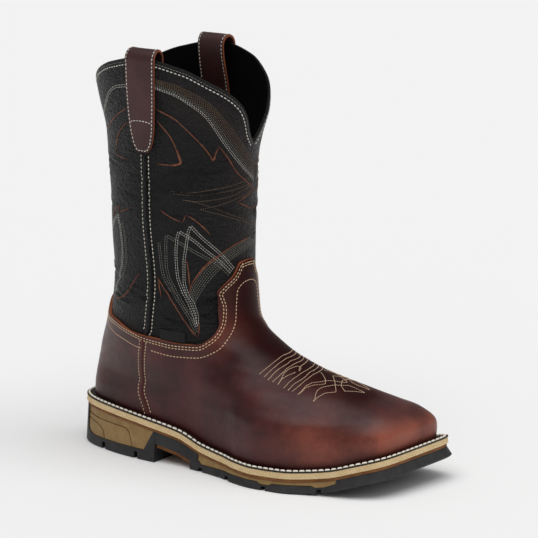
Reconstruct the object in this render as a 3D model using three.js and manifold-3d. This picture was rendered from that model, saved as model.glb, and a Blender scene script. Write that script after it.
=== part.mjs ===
// Western work boot, right foot, as a scene graph of closed solids in millimetres.
// +X points to the toe, +Y to the inner (medial) side, +Z up. The floor is z = 0.
// Lengths along the boot are measured from the back of the welt until the last lines,
// where the whole boot is moved so that its origin lies on the floor under the heel.

import * as THREE from 'three';
import { mergeVertices } from 'three/addons/utils/BufferGeometryUtils.js';
import Module from 'manifold-3d';

const wasm = await Module();
wasm.setup();

// Driving dimensions of the last and the boot
const bootLength = 310;
const ballWidth = 115;
const toeWidth = 109;
const waistWidth = 80.5;
const heelWidth = 88;
const instepHeight = 110;
const shaftHeight = 332;
const shaftDepth = 126;
const shaftWidth = 98;
const collarDipFront = 68;
const collarDipBack = 33;

// Heights of the welt's upper edge over the floor, and the rise of the toe
const heelHeight = 37.7;
const foreHeight = 17.2;
const toeRise = 16.3;
const toeSpring = 17.5;

// Thicknesses and clearances
const clearance = 0.3;
const layerGap = 0.5;
const upperWall = 2.2;
const overlayLeather = 1.9;
const seamRidge = 1.0;
const seamWidth = 3.4;
const pipingWidth = 4;
const pipingHeight = 1.3;
const strapLeather = 2.2;
const weltThickness = 1.2;
const weltOverhang = 6.4;
const midsoleThickness = 4.2;
const slipSoleThickness = 2;
const insoleThickness = 3;

// Outsole
const heelBreastAt = 0.3 * bootLength;
const treadStartAt = 0.4387 * bootLength;
const bumperAt = 0.8645 * bootLength;
const heelTreadHeight = 8.8;
const foreTreadHeight = 6.2;
const archBand = 9;
const archPlate = 3.6;
const archInset = 3;
const heelLugDepth = 6;
const foreLugDepth = 3.4;
const lugGap = 6;
const channelAt = 16;
const channelWidth = 4;
const soleFlare = 2.2;
const heelFlare = 0.8;
const soleChamfer = 1.4;
const layerStep = 0.9;
const panelStep = 0.9;
const panelGroove = 1.2;
const panelLine = 23.4;
const heelRestAt = 0.1742 * bootLength;

// Pull straps
const strapAt = 0.2865 * bootLength;
const strapWidth = 28.3;
const strapTop = shaftHeight + 8;
const strapLength = 83;
const strapArch = 9;
const strapLoopDepth = 16.5;
const strapInnerLength = 60;
const strapSewnLength = 12;

// Side tab
const tabAt = 0.358 * bootLength;
const tabWidth = 22;
const tabHeight = 9;
const tabThickness = 0.9;

// Corners of the sole's outline: 2 is an oval, more is squarer
const cornerLateral = 4.5;
const cornerMedial = 7;
const cornerHeel = 2.9;
const toeSkew = 8.5;

const aroundUpper = 46;
const aroundSole = 64;

// Half widths of the sole's outline as if its ends were square
const outlineWidths = [
  { at: 0.0, across: heelWidth, lateral: 0.511, medial: 0.489 },
  { at: 0.1, across: heelWidth, lateral: 0.511, medial: 0.489 },
  { at: 0.18, across: heelWidth, lateral: 0.522, medial: 0.492 },
  { at: 0.29, across: heelWidth, lateral: 0.53, medial: 0.466 },
  { at: 0.4, across: waistWidth, lateral: 0.56, medial: 0.44 },
  { at: 0.52, across: waistWidth, lateral: 0.635, medial: 0.475 },
  { at: 0.58, across: ballWidth, lateral: 0.504, medial: 0.385 },
  { at: 0.645, across: ballWidth, lateral: 0.539, medial: 0.43 },
  { at: 0.726, across: ballWidth, lateral: 0.53, medial: 0.47 },
  { at: 0.806, across: toeWidth, lateral: 0.5, medial: 0.527 },
  { at: 0.887, across: toeWidth, lateral: 0.459, medial: 0.564 },
  { at: 1.0, across: toeWidth, lateral: 0.459, medial: 0.587 },
].map((row) => ({
  at: row.at,
  lateral: row.lateral * row.across,
  medial: row.medial * row.across,
}));

// Height of the welt's upper edge and of the ground edge along the boot
const soleHeights = [
  { at: 0.0, heel: 1.15, toe: 0, ground: 0 },
  { at: 0.16, heel: 1.02, toe: 0, ground: 0 },
  { at: 0.29, heel: 0.83, toe: 0, ground: 0 },
  { at: 0.37, heel: 0.62, toe: 0, ground: 0 },
  { at: 0.45, heel: 0.215, toe: 0, ground: 0 },
  { at: 0.55, heel: 0.05, toe: 0, ground: 0 },
  { at: 0.645, heel: 0, toe: 0, ground: 0 },
  { at: 0.745, heel: 0, toe: 0.04, ground: 0 },
  { at: 0.84, heel: 0, toe: 0.22, ground: 0.16 },
  { at: 0.92, heel: 0, toe: 0.65, ground: 0.57 },
  { at: 1.0, heel: 0, toe: 1.07, ground: 0.96 },
  { at: 1.05, heel: 0, toe: 1.32, ground: 1.2 },
];

// Height of the collar: shares of the dips in front and behind, by share of a half turn
const collarDips = [
  { at: 0.0, front: 1.0, back: 0 },
  { at: 0.044, front: 0.868, back: 0 },
  { at: 0.083, front: 0.676, back: 0 },
  { at: 0.117, front: 0.53, back: 0 },
  { at: 0.178, front: 0.382, back: 0 },
  { at: 0.256, front: 0.25, back: 0 },
  { at: 0.35, front: 0.103, back: 0 },
  { at: 0.5, front: 0, back: 0 },
  { at: 0.65, front: 0, back: 0.2 },
  { at: 0.744, front: 0, back: 0.43 },
  { at: 0.833, front: 0, back: 0.7 },
  { at: 0.917, front: 0, back: 0.93 },
  { at: 1.0, front: 0, back: 1.0 },
];

// Smooth curve through a table's column, without overshoot between its rows
const slopesOf = new Map();
function slopes(rows, column) {
  if (!slopesOf.has(rows)) slopesOf.set(rows, {});
  const known = slopesOf.get(rows);
  if (known[column]) return known[column];
  const steps = rows.slice(1).map((row, i) => (row[column] - rows[i][column]) / (row.at - rows[i].at));
  known[column] = rows.map((row, i) => {
    if (i === 0) return steps[0];
    if (i === rows.length - 1) return steps[i - 1];
    const before = steps[i - 1];
    const after = steps[i];
    if (before * after <= 0) return 0;
    return (2 * before * after) / (before + after);
  });
  return known[column];
}

function read(rows, column, at) {
  const last = rows.length - 1;
  if (at <= rows[0].at) return rows[0][column];
  if (at >= rows[last].at) return rows[last][column];
  let i = 0;
  while (rows[i + 1].at < at) i += 1;
  const slope = slopes(rows, column);
  const span = rows[i + 1].at - rows[i].at;
  const t = (at - rows[i].at) / span;
  const rise = rows[i + 1][column] - rows[i][column];
  const a = slope[i] * span - rise;
  const b = rise - slope[i + 1] * span;
  return rows[i][column] + t * rise + t * (1 - t) * (a * (1 - t) + b * t);
}

const mix = (a, b, share) => a + (b - a) * share;
const clamp = (value, low, high) => Math.min(high, Math.max(low, value));
function smooth(low, high, value) {
  const t = clamp((value - low) / (high - low), 0, 1);
  return t * t * (3 - 2 * t);
}

function weltTop(x) {
  const at = x / bootLength;
  const heelPart = read(soleHeights, 'heel', at) * (heelHeight - foreHeight);
  return foreHeight + heelPart + read(soleHeights, 'toe', at) * toeRise;
}
const ground = (x) => read(soleHeights, 'ground', x / bootLength) * toeSpring;
const weltBottom = (x) => weltTop(x) - weltThickness;
const midsoleTop = (x) => weltBottom(x) - layerGap;
const midsoleBottom = (x) => midsoleTop(x) - midsoleThickness;
const slipSoleTop = (x) => midsoleBottom(x) - layerGap;
const slipSoleBottom = (x) => slipSoleTop(x) - slipSoleThickness;
const outsoleTop = (x) => slipSoleBottom(x) - layerGap;
const feather = (x) => midsoleTop(x) + 1.6 * clearance;

// Direction from the middle of a rounded rectangle to its edge
function edgeDirection(turn, power) {
  const along = Math.cos(turn);
  const across = Math.sin(turn);
  const reach = (Math.abs(along) ** power + Math.abs(across) ** power) ** (-1 / power);
  return { along: along * reach, across: across * reach };
}

function cornerPower(turn, share) {
  if (Math.cos(turn) < 0) return 2 + (cornerHeel - 2) * share;
  const toe = Math.sin(turn) < 0 ? cornerLateral : cornerMedial;
  return 2 + (toe - 2) * share;
}

const sideOf = (turn) => (Math.sin(turn) < 0 ? 'lateral' : 'medial');
const skewOf = (x, y, share) => toeSkew * share * (y / toeWidth) * 2 * smooth(0.7, 1, x / bootLength);

// Point of the sole's outline, moved inward by an inset
function outlinePoint(turn, inset) {
  const { along, across } = edgeDirection(turn, cornerPower(turn, 1));
  const x = bootLength / 2 + along * (bootLength / 2 - inset);
  const y = across * (read(outlineWidths, sideOf(turn), x / bootLength) - inset);
  return [x + skewOf(x, y, 1), y];
}

// Sections of the last from the feather line to the top of the shaft. back and front are
// shares of the boot's length, the rises shares of the instep's height. follow is how far
// a section bends with the sole, girth scales the sole's widths at the heel and the fore,
// oval turns the foot's plan into the shaft's, half is a share of the shaft's width and
// corner keeps the toe's square corners.
const upperInset = weltOverhang + overlayLeather + clearance;
const featherBack = upperInset / bootLength;
const footSections = [
  {
    back: featherBack, backRise: feather(upperInset) / instepHeight,
    front: 1 - featherBack, frontRise: feather(bootLength - upperInset) / instepHeight,
    follow: 1, heelGirth: 1, foreGirth: 1, oval: 0, half: 0.4, corner: 1,
  },
  {
    back: 0.0285, backRise: 0.455, front: 0.9765, frontRise: 0.42,
    follow: 0.75, heelGirth: 1.03, foreGirth: 1.045, oval: 0, half: 0.41, corner: 0.85,
  },
  {
    back: 0.029, backRise: 0.536, front: 0.958, frontRise: 0.525,
    follow: 0.45, heelGirth: 1.045, foreGirth: 1.017, oval: 0, half: 0.42, corner: 0.5,
  },
  {
    back: 0.031, backRise: 0.591, front: 0.925, frontRise: 0.586,
    follow: 0.25, heelGirth: 1.06, foreGirth: 0.925, oval: 0.1, half: 0.4, corner: 0.28,
  },
  {
    back: 0.035, backRise: 0.645, front: 0.8645, frontRise: 0.638,
    follow: 0.1, heelGirth: 1.1, foreGirth: 0.84, oval: 0.2, half: 0.415, corner: 0.16,
  },
  {
    back: 0.04, backRise: 0.7, front: 0.787, frontRise: 0.6855,
    follow: 0.02, heelGirth: 1.14, foreGirth: 0.78, oval: 0.3, half: 0.43, corner: 0.08,
  },
  {
    back: 0.046, backRise: 0.764, front: 0.713, frontRise: 0.74,
    follow: 0, heelGirth: 1.18, foreGirth: 0.75, oval: 0.42, half: 0.442, corner: 0.04,
  },
  {
    back: 0.0545, backRise: 0.836, front: 0.6484, frontRise: 0.804,
    follow: 0, heelGirth: 1.22, foreGirth: 0.76, oval: 0.56, half: 0.456, corner: 0,
  },
  {
    back: 0.066, backRise: 0.918, front: 0.588, frontRise: 0.887,
    follow: 0, heelGirth: 1.25, foreGirth: 0.8, oval: 0.73, half: 0.47, corner: 0,
  },
  {
    back: 0.0775, backRise: 1.01, front: 0.534, frontRise: 0.973,
    follow: 0, heelGirth: 1.28, foreGirth: 0.86, oval: 0.88, half: 0.482, corner: 0,
  },
];

// Sections of the shaft: back and front are shares of its depth from its axis, the rises
// shares of the height from the instep to the collar
const shaftAxis = 0.297 * bootLength;
const shaftSections = [
  { backRise: 0.068, back: 0.5125, frontRise: 0.045, front: 0.508, half: 0.491, oval: 0.96 },
  { backRise: 0.149, back: 0.498, frontRise: 0.122, front: 0.489, half: 0.492, oval: 1 },
  { backRise: 0.225, back: 0.4935, frontRise: 0.216, front: 0.48, half: 0.49, oval: 1 },
  { backRise: 0.405, back: 0.512, frontRise: 0.405, front: 0.494, half: 0.5, oval: 1 },
  { backRise: 0.599, back: 0.526, frontRise: 0.599, front: 0.503, half: 0.508, oval: 1 },
  { backRise: 0.703, back: 0.5435, frontRise: 0.703, front: 0.54, half: 0.525, oval: 1 },
  { backRise: 0.82, back: 0.6, frontRise: 0.82, front: 0.595, half: 0.547, oval: 1 },
  { backRise: 0.93, back: 0.632, frontRise: 0.93, front: 0.602, half: 0.558, oval: 1 },
  { backRise: 1.03, back: 0.645, frontRise: 1.03, front: 0.602, half: 0.562, oval: 1 },
];

const footRows = footSections.map((row) => ({
  ...row,
  back: row.back * bootLength,
  front: row.front * bootLength,
  backRise: row.backRise * instepHeight,
  frontRise: row.frontRise * instepHeight,
}));
const heightAt = (share) => mix(instepHeight, shaftHeight, share);
const shaftRows = shaftSections.map((row) => ({
  back: shaftAxis - row.back * shaftDepth,
  front: shaftAxis + row.front * shaftDepth,
  backRise: heightAt(row.backRise),
  frontRise: heightAt(row.frontRise),
  follow: 0,
  heelGirth: 1.2,
  foreGirth: 0.9,
  oval: row.oval,
  half: row.half,
  corner: 0,
}));
const sections = [...footRows, ...shaftRows].map((row, i) => ({ ...row, at: i }));
const shaftLevel = footSections.length + 2;
const topLevel = sections.length - 1;
const toeSwing = 4;

// Point of the upper's outer face. turn is the way around from the toe over the medial
// side, level counts the sections upward.
function lastPoint(turn, level) {
  const value = (column) => read(sections, column, level);
  const back = value('back');
  const front = value('front');
  const { along, across } = edgeDirection(turn, cornerPower(turn, value('corner')));
  const x = mix(back, front, (along + 1) / 2);
  const share = (x - back) / (front - back);
  const footHalf = read(outlineWidths, sideOf(turn), x / bootLength) - upperInset;
  const girth = mix(value('heelGirth'), value('foreGirth'), smooth(0.35, 0.85, share));
  const oval = value('oval');
  const half = mix(footHalf * girth, value('half') * shaftWidth, oval);
  const swing = toeSwing * share * share * (1 - across * across) * (1 - oval) * (1 - value('corner'));
  const y = across * half + swing;
  const skewed = x + skewOf(x, y, value('corner'));
  const first = sections[0];
  const soleShare = (skewed - first.back) / (first.front - first.back);
  const bend = feather(skewed) - mix(first.backRise, first.frontRise, soleShare);
  const z = mix(value('backRise'), value('frontRise'), share) + value('follow') * bend;
  return [skewed, y, z];
}

const minus = (a, b) => [a[0] - b[0], a[1] - b[1], a[2] - b[2]];
const cross = (a, b) => [
  a[1] * b[2] - a[2] * b[1],
  a[2] * b[0] - a[0] * b[2],
  a[0] * b[1] - a[1] * b[0],
];

// The same face moved along its normal, for walls and overlays
function skinPoint(turn, level, offset) {
  const p = lastPoint(turn, level);
  if (offset === 0) return p;
  const turnStep = 0.02;
  const levelStep = 0.08;
  const low = Math.max(0, level - levelStep);
  const high = Math.min(topLevel, level + levelStep);
  const around = minus(lastPoint(turn + turnStep, level), lastPoint(turn - turnStep, level));
  const up = minus(lastPoint(turn, high), lastPoint(turn, low));
  const normal = cross(around, up);
  const size = Math.hypot(...normal);
  return p.map((value, i) => value + (normal[i] / size) * offset);
}

function solve(low, high, isBelow) {
  let [a, b] = [low, high];
  for (let i = 0; i < 40; i += 1) {
    const middle = (a + b) / 2;
    if (isBelow(middle)) a = middle;
    else b = middle;
  }
  return (a + b) / 2;
}

const halfTurnShare = (turn) => Math.acos(Math.cos(turn)) / Math.PI;
function collarHeight(turn) {
  const at = halfTurnShare(turn);
  const front = read(collarDips, 'front', at) * collarDipFront;
  return shaftHeight - front - read(collarDips, 'back', at) * collarDipBack;
}
const collarLevel = (turn) =>
  solve(shaftLevel, topLevel, (level) => lastPoint(turn, level)[2] < collarHeight(turn));

// Closed meshes from rows of points
function geometryOf(points, triangles) {
  let volume = 0;
  for (const [a, b, c] of triangles) {
    const [p, q, r] = [points[a], points[b], points[c]];
    const n = cross(q, r);
    volume += p[0] * n[0] + p[1] * n[1] + p[2] * n[2];
  }
  const faces = volume < 0 ? triangles.map(([a, b, c]) => [a, c, b]) : triangles;
  const geometry = new THREE.BufferGeometry();
  geometry.setAttribute('position', new THREE.Float32BufferAttribute(points.flat(), 3));
  geometry.setIndex(faces.flat());
  return geometry;
}

// Wall between two equal grids of points; wraps says that its rows are closed loops
function wall(outer, inner, wraps) {
  const rows = outer.length;
  const columns = outer[0].length;
  const points = [...outer.flat(), ...inner.flat()];
  const offset = rows * columns;
  const triangles = [];
  const at = (row, column) => row * columns + (column % columns);
  const quad = (a, b, c, d) => triangles.push([a, b, c], [a, c, d]);
  const spans = wraps ? columns : columns - 1;
  for (let i = 0; i < spans; i += 1) {
    for (let j = 0; j < rows - 1; j += 1) {
      quad(at(j, i), at(j, i + 1), at(j + 1, i + 1), at(j + 1, i));
      quad(offset + at(j, i), offset + at(j + 1, i), offset + at(j + 1, i + 1), offset + at(j, i + 1));
    }
    quad(at(0, i + 1), at(0, i), offset + at(0, i), offset + at(0, i + 1));
    const top = rows - 1;
    quad(at(top, i), at(top, i + 1), offset + at(top, i + 1), offset + at(top, i));
  }
  if (!wraps) {
    const end = columns - 1;
    for (let j = 0; j < rows - 1; j += 1) {
      quad(at(j, 0), at(j + 1, 0), offset + at(j + 1, 0), offset + at(j, 0));
      quad(at(j + 1, end), at(j, end), offset + at(j, end), offset + at(j + 1, end));
    }
  }
  return geometryOf(points, triangles);
}

// Solid between closed loops. Its lower and upper faces cross from side to side at the
// heights that two functions of the length give.
const capSteps = 3;
function stack(loops, bottom, top) {
  const around = loops[0].length;
  const points = loops.flat();
  const triangles = [];
  for (let j = 0; j < loops.length - 1; j += 1) {
    for (let i = 0; i < around; i += 1) {
      const a = j * around + i;
      const b = j * around + ((i + 1) % around);
      triangles.push([a, b, b + around], [a, b + around, a + around]);
    }
  }
  const cap = (start, height, flip) => {
    const face = (a, b, c) => triangles.push(flip ? [a, c, b] : [a, b, c]);
    const half = around / 2;
    const rows = [];
    for (let i = 1; i < half; i += 1) {
      const left = points[start + i];
      const right = points[start + around - i];
      const row = [start + i];
      for (let k = 1; k < capSteps; k += 1) {
        const x = mix(left[0], right[0], k / capSteps);
        row.push(points.length);
        points.push([x, mix(left[1], right[1], k / capSteps), height(x)]);
      }
      rows.push([...row, start + around - i]);
    }
    const first = rows[0];
    const last = rows[rows.length - 1];
    for (let k = 0; k < capSteps; k += 1) {
      face(start, first[k], first[k + 1]);
      face(last[k], start + half, last[k + 1]);
      for (let i = 0; i < rows.length - 1; i += 1) {
        face(rows[i][k], rows[i + 1][k], rows[i + 1][k + 1]);
        face(rows[i][k], rows[i + 1][k + 1], rows[i][k + 1]);
      }
    }
  };
  cap(0, bottom, true);
  cap((loops.length - 1) * around, top, false);
  return geometryOf(points, triangles);
}

// Turns around a section, closer together along its sides than at toe and heel
const sideCrowding = 0.17;
const spreadTurn = (turn) => turn + sideCrowding * Math.sin(2 * turn);
const turnsAround = (count) =>
  Array.from({ length: count }, (_, i) => spreadTurn((2 * Math.PI * i) / count));
function soleLoop(inset, height) {
  return turnsAround(aroundSole).map((turn) => {
    const [x, y] = outlinePoint(turn, inset);
    return [x, y, height(x)];
  });
}

function solidOf(geometry) {
  const mesh = new wasm.Mesh({
    numProp: 3,
    vertProperties: new Float32Array(geometry.attributes.position.array),
    triVerts: new Uint32Array(geometry.index.array),
  });
  return new wasm.Manifold(mesh);
}

function geometryOfSolid(solid) {
  const mesh = solid.getMesh();
  const geometry = new THREE.BufferGeometry();
  geometry.setAttribute('position', new THREE.BufferAttribute(new Float32Array(mesh.vertProperties), 3));
  geometry.setIndex([...mesh.triVerts]);
  return geometry;
}

// Prism over a side view given as [x, z] corners
const prismHalf = 120;
function sidePrism(corners) {
  const along = corners.length;
  const points = [-prismHalf, prismHalf].flatMap((y) => corners.map(([x, z]) => [x, y, z]));
  const triangles = [];
  const shape = corners.map(([x, z]) => new THREE.Vector2(x, z));
  for (const [a, b, c] of THREE.ShapeUtils.triangulateShape(shape, [])) {
    triangles.push([a, b, c], [along + a, along + c, along + b]);
  }
  const clockwise = THREE.ShapeUtils.isClockWise(shape);
  for (let i = 0; i < along; i += 1) {
    const next = (i + 1) % along;
    const faces = [[i, i + along, next], [next, i + along, next + along]];
    for (const [a, b, c] of faces) triangles.push(clockwise ? [a, c, b] : [a, b, c]);
  }
  return solidOf(geometryOf(points, triangles));
}

const leatherBlack = new THREE.MeshStandardMaterial({ color: 0x222325, roughness: 0.65 });
const leatherBrown = new THREE.MeshStandardMaterial({ color: 0x4a2a28, roughness: 0.42 });
const lining = new THREE.MeshStandardMaterial({ color: 0x1b1b1d, roughness: 0.9 });
const weltDark = new THREE.MeshStandardMaterial({ color: 0x17120f, roughness: 0.6 });
const cream = new THREE.MeshStandardMaterial({ color: 0xd6ba80, roughness: 0.75 });
const tan = new THREE.MeshStandardMaterial({ color: 0x8a5a28, roughness: 0.75 });
const taupe = new THREE.MeshStandardMaterial({ color: 0x857050, roughness: 0.7 });
const rubber = new THREE.MeshStandardMaterial({ color: 0x2e2f33, roughness: 0.75 });

const boot = new THREE.Group();
function add(name, geometry, material) {
  const mesh = new THREE.Mesh(geometry, material);
  mesh.name = name;
  boot.add(mesh);
}

// Upper: levels of its rows from the feather line up, the last ones rising to the collar
const footLevels = [0, 0.5, 1, 1.6, 2.3, 3.1, 4, 5, 6, 7, 8, 9, 10, 11, 12];
const collarSteps = [0.25, 0.5, 0.75, 1];
function wallPoint(turn, level, offset) {
  const [x, y, z] = skinPoint(turn, level, offset);
  return [x, y, Math.max(z, feather(x))];
}
function upperRows(offset, turns) {
  const low = footLevels.map((level) => turns.map((turn) => wallPoint(turn, level, offset)));
  const high = collarSteps.map((share) =>
    turns.map((turn) => skinPoint(turn, mix(shaftLevel, collarLevel(turn), share), offset)));
  return [...low, ...high];
}
const upperTurns = turnsAround(aroundUpper);
add('upper', wall(upperRows(0, upperTurns), upperRows(-upperWall, upperTurns), true), leatherBlack);

// Insole inside the upper, on the midsole
const insoleInset = upperInset + upperWall + 4 * clearance;
const insoleBottom = (x) => midsoleTop(x) + 2.2 * clearance;
const insoleTop = (x) => insoleBottom(x) + insoleThickness;
const slab = (insets, bottom, top) =>
  stack([soleLoop(insets.bottom, bottom), soleLoop(insets.top, top)], bottom, top);
add('insole', slab({ bottom: insoleInset, top: insoleInset }, insoleBottom, insoleTop), lining);

// Welt: a strip from just outside the upper to the sole's edge
const levelAbove = (turn, height) =>
  solve(0, 3, (level) => {
    const [x, , z] = lastPoint(turn, level);
    return z < height(x);
  });
function weltInnerLoop(height) {
  return turnsAround(aroundSole).map((turn) => {
    const [x, y] = skinPoint(turn, levelAbove(turn, weltTop), 3.5 * clearance);
    return [x, y, height(x)];
  });
}
const weltOuterRows = [soleLoop(0, weltBottom), soleLoop(0, weltTop)];
const weltInnerRows = [weltInnerLoop(weltBottom), weltInnerLoop(weltTop)];
add('welt', wall(weltOuterRows, weltInnerRows, true), weltDark);
add('midsole', slab({ bottom: 0, top: 0 }, midsoleBottom, midsoleTop), cream);
add('slip_sole', slab({ bottom: layerStep, top: layerStep }, slipSoleBottom, slipSoleTop), tan);

// Outsole: one flared block, cut into black tread and taupe carriers seen from the side.
// It flares less at the back of the heel.
const flareAt = (turn) => mix(heelFlare, soleFlare, smooth(-0.95, -0.5, Math.cos(turn)));
function flaredLoop(inset, height) {
  return turnsAround(aroundSole).map((turn) => {
    const [x, y] = outlinePoint(turn, inset - flareAt(turn));
    return [x, y, height(x)];
  });
}
function outsoleBlock(inset) {
  const loops = [
    flaredLoop(inset + soleChamfer, ground),
    flaredLoop(inset, (x) => ground(x) + soleChamfer),
    soleLoop(inset + layerStep, outsoleTop),
  ];
  return solidOf(stack(loops, ground, outsoleTop));
}
const block = outsoleBlock(0);
const carrierBlock = outsoleBlock(panelStep);
const above = 2 * heelHeight;
const below = -heelHeight;

// Corners of the heel's carrier: shares of the breast's place and of the heel's height
const heelPanel = [
  { along: 0.115, up: 0.22 },
  { along: 0.14, up: 0.1 },
  { along: 0.21, up: 0 },
  { along: 0.875, up: 0 },
  { along: 0.975, up: 0.85 },
];
function heelPanelCorners(grow) {
  const corner = ({ along, up }, i, rows) => {
    const outward = i < rows.length / 2 ? -grow : grow;
    const top = heelHeight - heelTreadHeight;
    return [along * heelBreastAt + outward, heelTreadHeight - grow + up * top * 0.7];
  };
  const corners = heelPanel.map(corner);
  const first = corners[0][0];
  const last = corners[corners.length - 1][0];
  return [[first, above], ...corners, [last, above]];
}
const heelRegion = sidePrism([
  [-above, below], [heelBreastAt, below], [heelBreastAt, above], [-above, above],
]);

function gapAcross(at, depth) {
  const height = ground(at) + depth;
  const [low, high] = [at - lugGap / 2, at + lugGap / 2];
  return sidePrism([[low, below], [high, below], [high - 1, height], [low + 1, height]]);
}
const heelGaps = [0.376, 0.79].map((share) => gapAcross(share * heelBreastAt, heelLugDepth));
let heelTread = block.intersect(heelRegion).subtract(sidePrism(heelPanelCorners(clearance)));
for (const gap of heelGaps) heelTread = heelTread.subtract(gap);

// The carrier's upper panel lies back from its lower ones, and two grooves part these
let heelCarrier = carrierBlock.intersect(sidePrism(heelPanelCorners(0)));
const carrierCore = outsoleBlock(2 * panelStep);
const upperPanel = sidePrism([
  [-above, panelLine + 2], [0.4 * heelBreastAt, panelLine], [0.66 * heelBreastAt, panelLine - 1],
  [heelBreastAt, panelLine + 3], [heelBreastAt, above], [-above, above],
]);
heelCarrier = heelCarrier.subtract(upperPanel.subtract(carrierCore));
for (const share of [0.36, 0.68]) {
  const top = share * heelBreastAt;
  const foot = top + 0.06 * heelBreastAt;
  const groove = sidePrism([
    [foot, below], [foot + panelGroove, below], [top + panelGroove, above], [top, above],
  ]);
  heelCarrier = heelCarrier.subtract(groove.subtract(carrierCore));
}

// Forefoot carrier: heights over the ground edge, with a dip above two of the gaps
const dips = [0.681, 0.827];
function foreCarrierCorners(grow) {
  const corners = [[treadStartAt - grow - 3, above], [treadStartAt - grow, foreTreadHeight + 3]];
  const low = (x, drop) => corners.push([x, ground(x) + foreTreadHeight - drop - grow]);
  low(treadStartAt + 4 - grow, 0);
  for (const share of dips) {
    const at = share * bootLength;
    low(at - 1.2 * lugGap, 0);
    low(at - 0.6 * lugGap, 0.25 * foreTreadHeight);
    low(at + 0.6 * lugGap, 0.25 * foreTreadHeight);
    if (at + 2 * lugGap < bumperAt) low(at + 1.2 * lugGap, 0);
  }
  corners.push([bumperAt + grow, ground(bumperAt) + foreTreadHeight]);
  corners.push([bumperAt + 6 + grow, above]);
  return corners;
}
const foreCarrier = carrierBlock.intersect(sidePrism(foreCarrierCorners(0)));

// Black forefoot: the band under the arch, the plate with its lugs and the toe bumper
const bandStart = heelBreastAt + clearance;
const bandUnder = (x) => outsoleTop(x) - archBand;
const bandEnd = treadStartAt - 0.3 * archBand;
const foreRegion = sidePrism([
  [bandStart, bandUnder(bandStart)],
  [mix(bandStart, bandEnd, 0.5), bandUnder(mix(bandStart, bandEnd, 0.5))],
  [bandEnd - 5, bandUnder(bandEnd - 5)], [bandEnd, below],
  [2 * bootLength, below], [2 * bootLength, above], [bandStart, above],
]);
let foreTread = block.intersect(foreRegion).subtract(sidePrism(foreCarrierCorners(clearance)));
const foreGaps = [0.452, 0.553, 0.681, 0.827];
for (const share of foreGaps) {
  foreTread = foreTread.subtract(gapAcross(share * bootLength, foreLugDepth));
}
for (const side of [-1, 1]) {
  const channel = new THREE.BoxGeometry(bumperAt - treadStartAt, channelWidth, 2 * foreLugDepth);
  channel.translate((bumperAt + treadStartAt) / 2, side * channelAt, 0);
  channel.deleteAttribute('normal');
  channel.deleteAttribute('uv');
  foreTread = foreTread.subtract(solidOf(mergeVertices(channel)));
}

// Tan plate that shows under the band at the arch
const plateTop = (x) => bandUnder(x) - clearance;
const plateEnd = bandEnd - 5;
const plateMiddle = mix(bandStart, plateEnd, 0.5);
const archBlock = outsoleBlock(archInset);
const plateRegion = sidePrism([
  [bandStart, plateTop(bandStart) - archPlate], [plateMiddle, plateTop(plateMiddle) - archPlate],
  [plateEnd, plateTop(plateEnd) - archPlate], [plateEnd, plateTop(plateEnd)],
  [plateMiddle, plateTop(plateMiddle)], [bandStart, plateTop(bandStart)],
]);

add('heel_carrier', geometryOfSolid(heelCarrier), taupe);
add('heel_tread', geometryOfSolid(heelTread), rubber);
add('fore_carrier', geometryOfSolid(foreCarrier), taupe);
add('fore_tread', geometryOfSolid(foreTread), rubber);
add('arch_plate', geometryOfSolid(archBlock.intersect(plateRegion)), tan);

// Overlays: shells around the upper, cut by regions of its side view
const overlayLevels = footLevels.filter((level) => level > 0);
const overlayTop = [shaftLevel + 0.6, shaftLevel + 1.2];
function shellRow(turns, level, offset) {
  return turns.map((turn) => skinPoint(turn, level, offset));
}
function footRow(turns, offset) {
  return turns.map((turn) => {
    const [x, y] = skinPoint(turn, levelAbove(turn, weltTop), offset);
    return [x, y, weltTop(x) + 1.5 * clearance];
  });
}
function overlayRows(offset) {
  const levels = [...overlayLevels, ...overlayTop];
  return [footRow(upperTurns, offset), ...levels.map((level) => shellRow(upperTurns, level, offset))];
}
const overlayOuter = clearance + overlayLeather;
const overlayShell = solidOf(wall(overlayRows(overlayOuter), overlayRows(clearance), true));
const ridgeShell = solidOf(wall(overlayRows(overlayOuter + seamRidge), overlayRows(clearance), true));

// Seam on the foot's side: shares of the boot's length and of the instep's height
const footSeam = [
  { along: 0.268, up: 0.2 },
  { along: 0.2615, up: 0.4 },
  { along: 0.248, up: 0.5 },
  { along: 0.245, up: 0.6 },
  { along: 0.26, up: 0.74 },
  { along: 0.278, up: 0.86 },
  { along: 0.289, up: 1.05 },
];
const seamPoints = (offset) => footSeam.map(({ along, up }) => [
  along * bootLength + offset, up * instepHeight,
]);
const seamTop = footSeam[footSeam.length - 1];

// Upper edge of the vamp with its ear and tongue, and of the counter, in the side view
const vampEdge = [
  { along: 0.262, up: 0.955 },
  { along: 0.32, up: 0.941 },
  { along: 0.378, up: 0.927 },
  { along: 0.43, up: 0.93 },
  { along: 0.461, up: 0.962 },
  { along: 0.475, up: 1.03 },
  { along: 0.477, up: 1.1 },
  { along: 0.473, up: 1.2 },
  { along: 0.459, up: 1.31 },
  { along: 0.471, up: 1.357 },
  { along: 0.484, up: 1.43 },
  { along: 0.49, up: 1.515 },
  { along: 0.496, up: 1.535 },
  { along: 0.6, up: 1.54 },
];
const counterEdge = [
  { along: 0.27, up: 0.952 },
  { along: 0.21, up: 0.99 },
  { along: 0.165, up: 1.013 },
  { along: 0.132, up: 1.035 },
  { along: 0.115, up: 1.085 },
  { along: 0.1, up: 1.15 },
  { along: 0.06, up: 1.18 },
];
const sidePoints = (rows) => rows.map(({ along, up }) => [along * bootLength, up * instepHeight]);
const beside = seamWidth / 2 + clearance;
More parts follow.
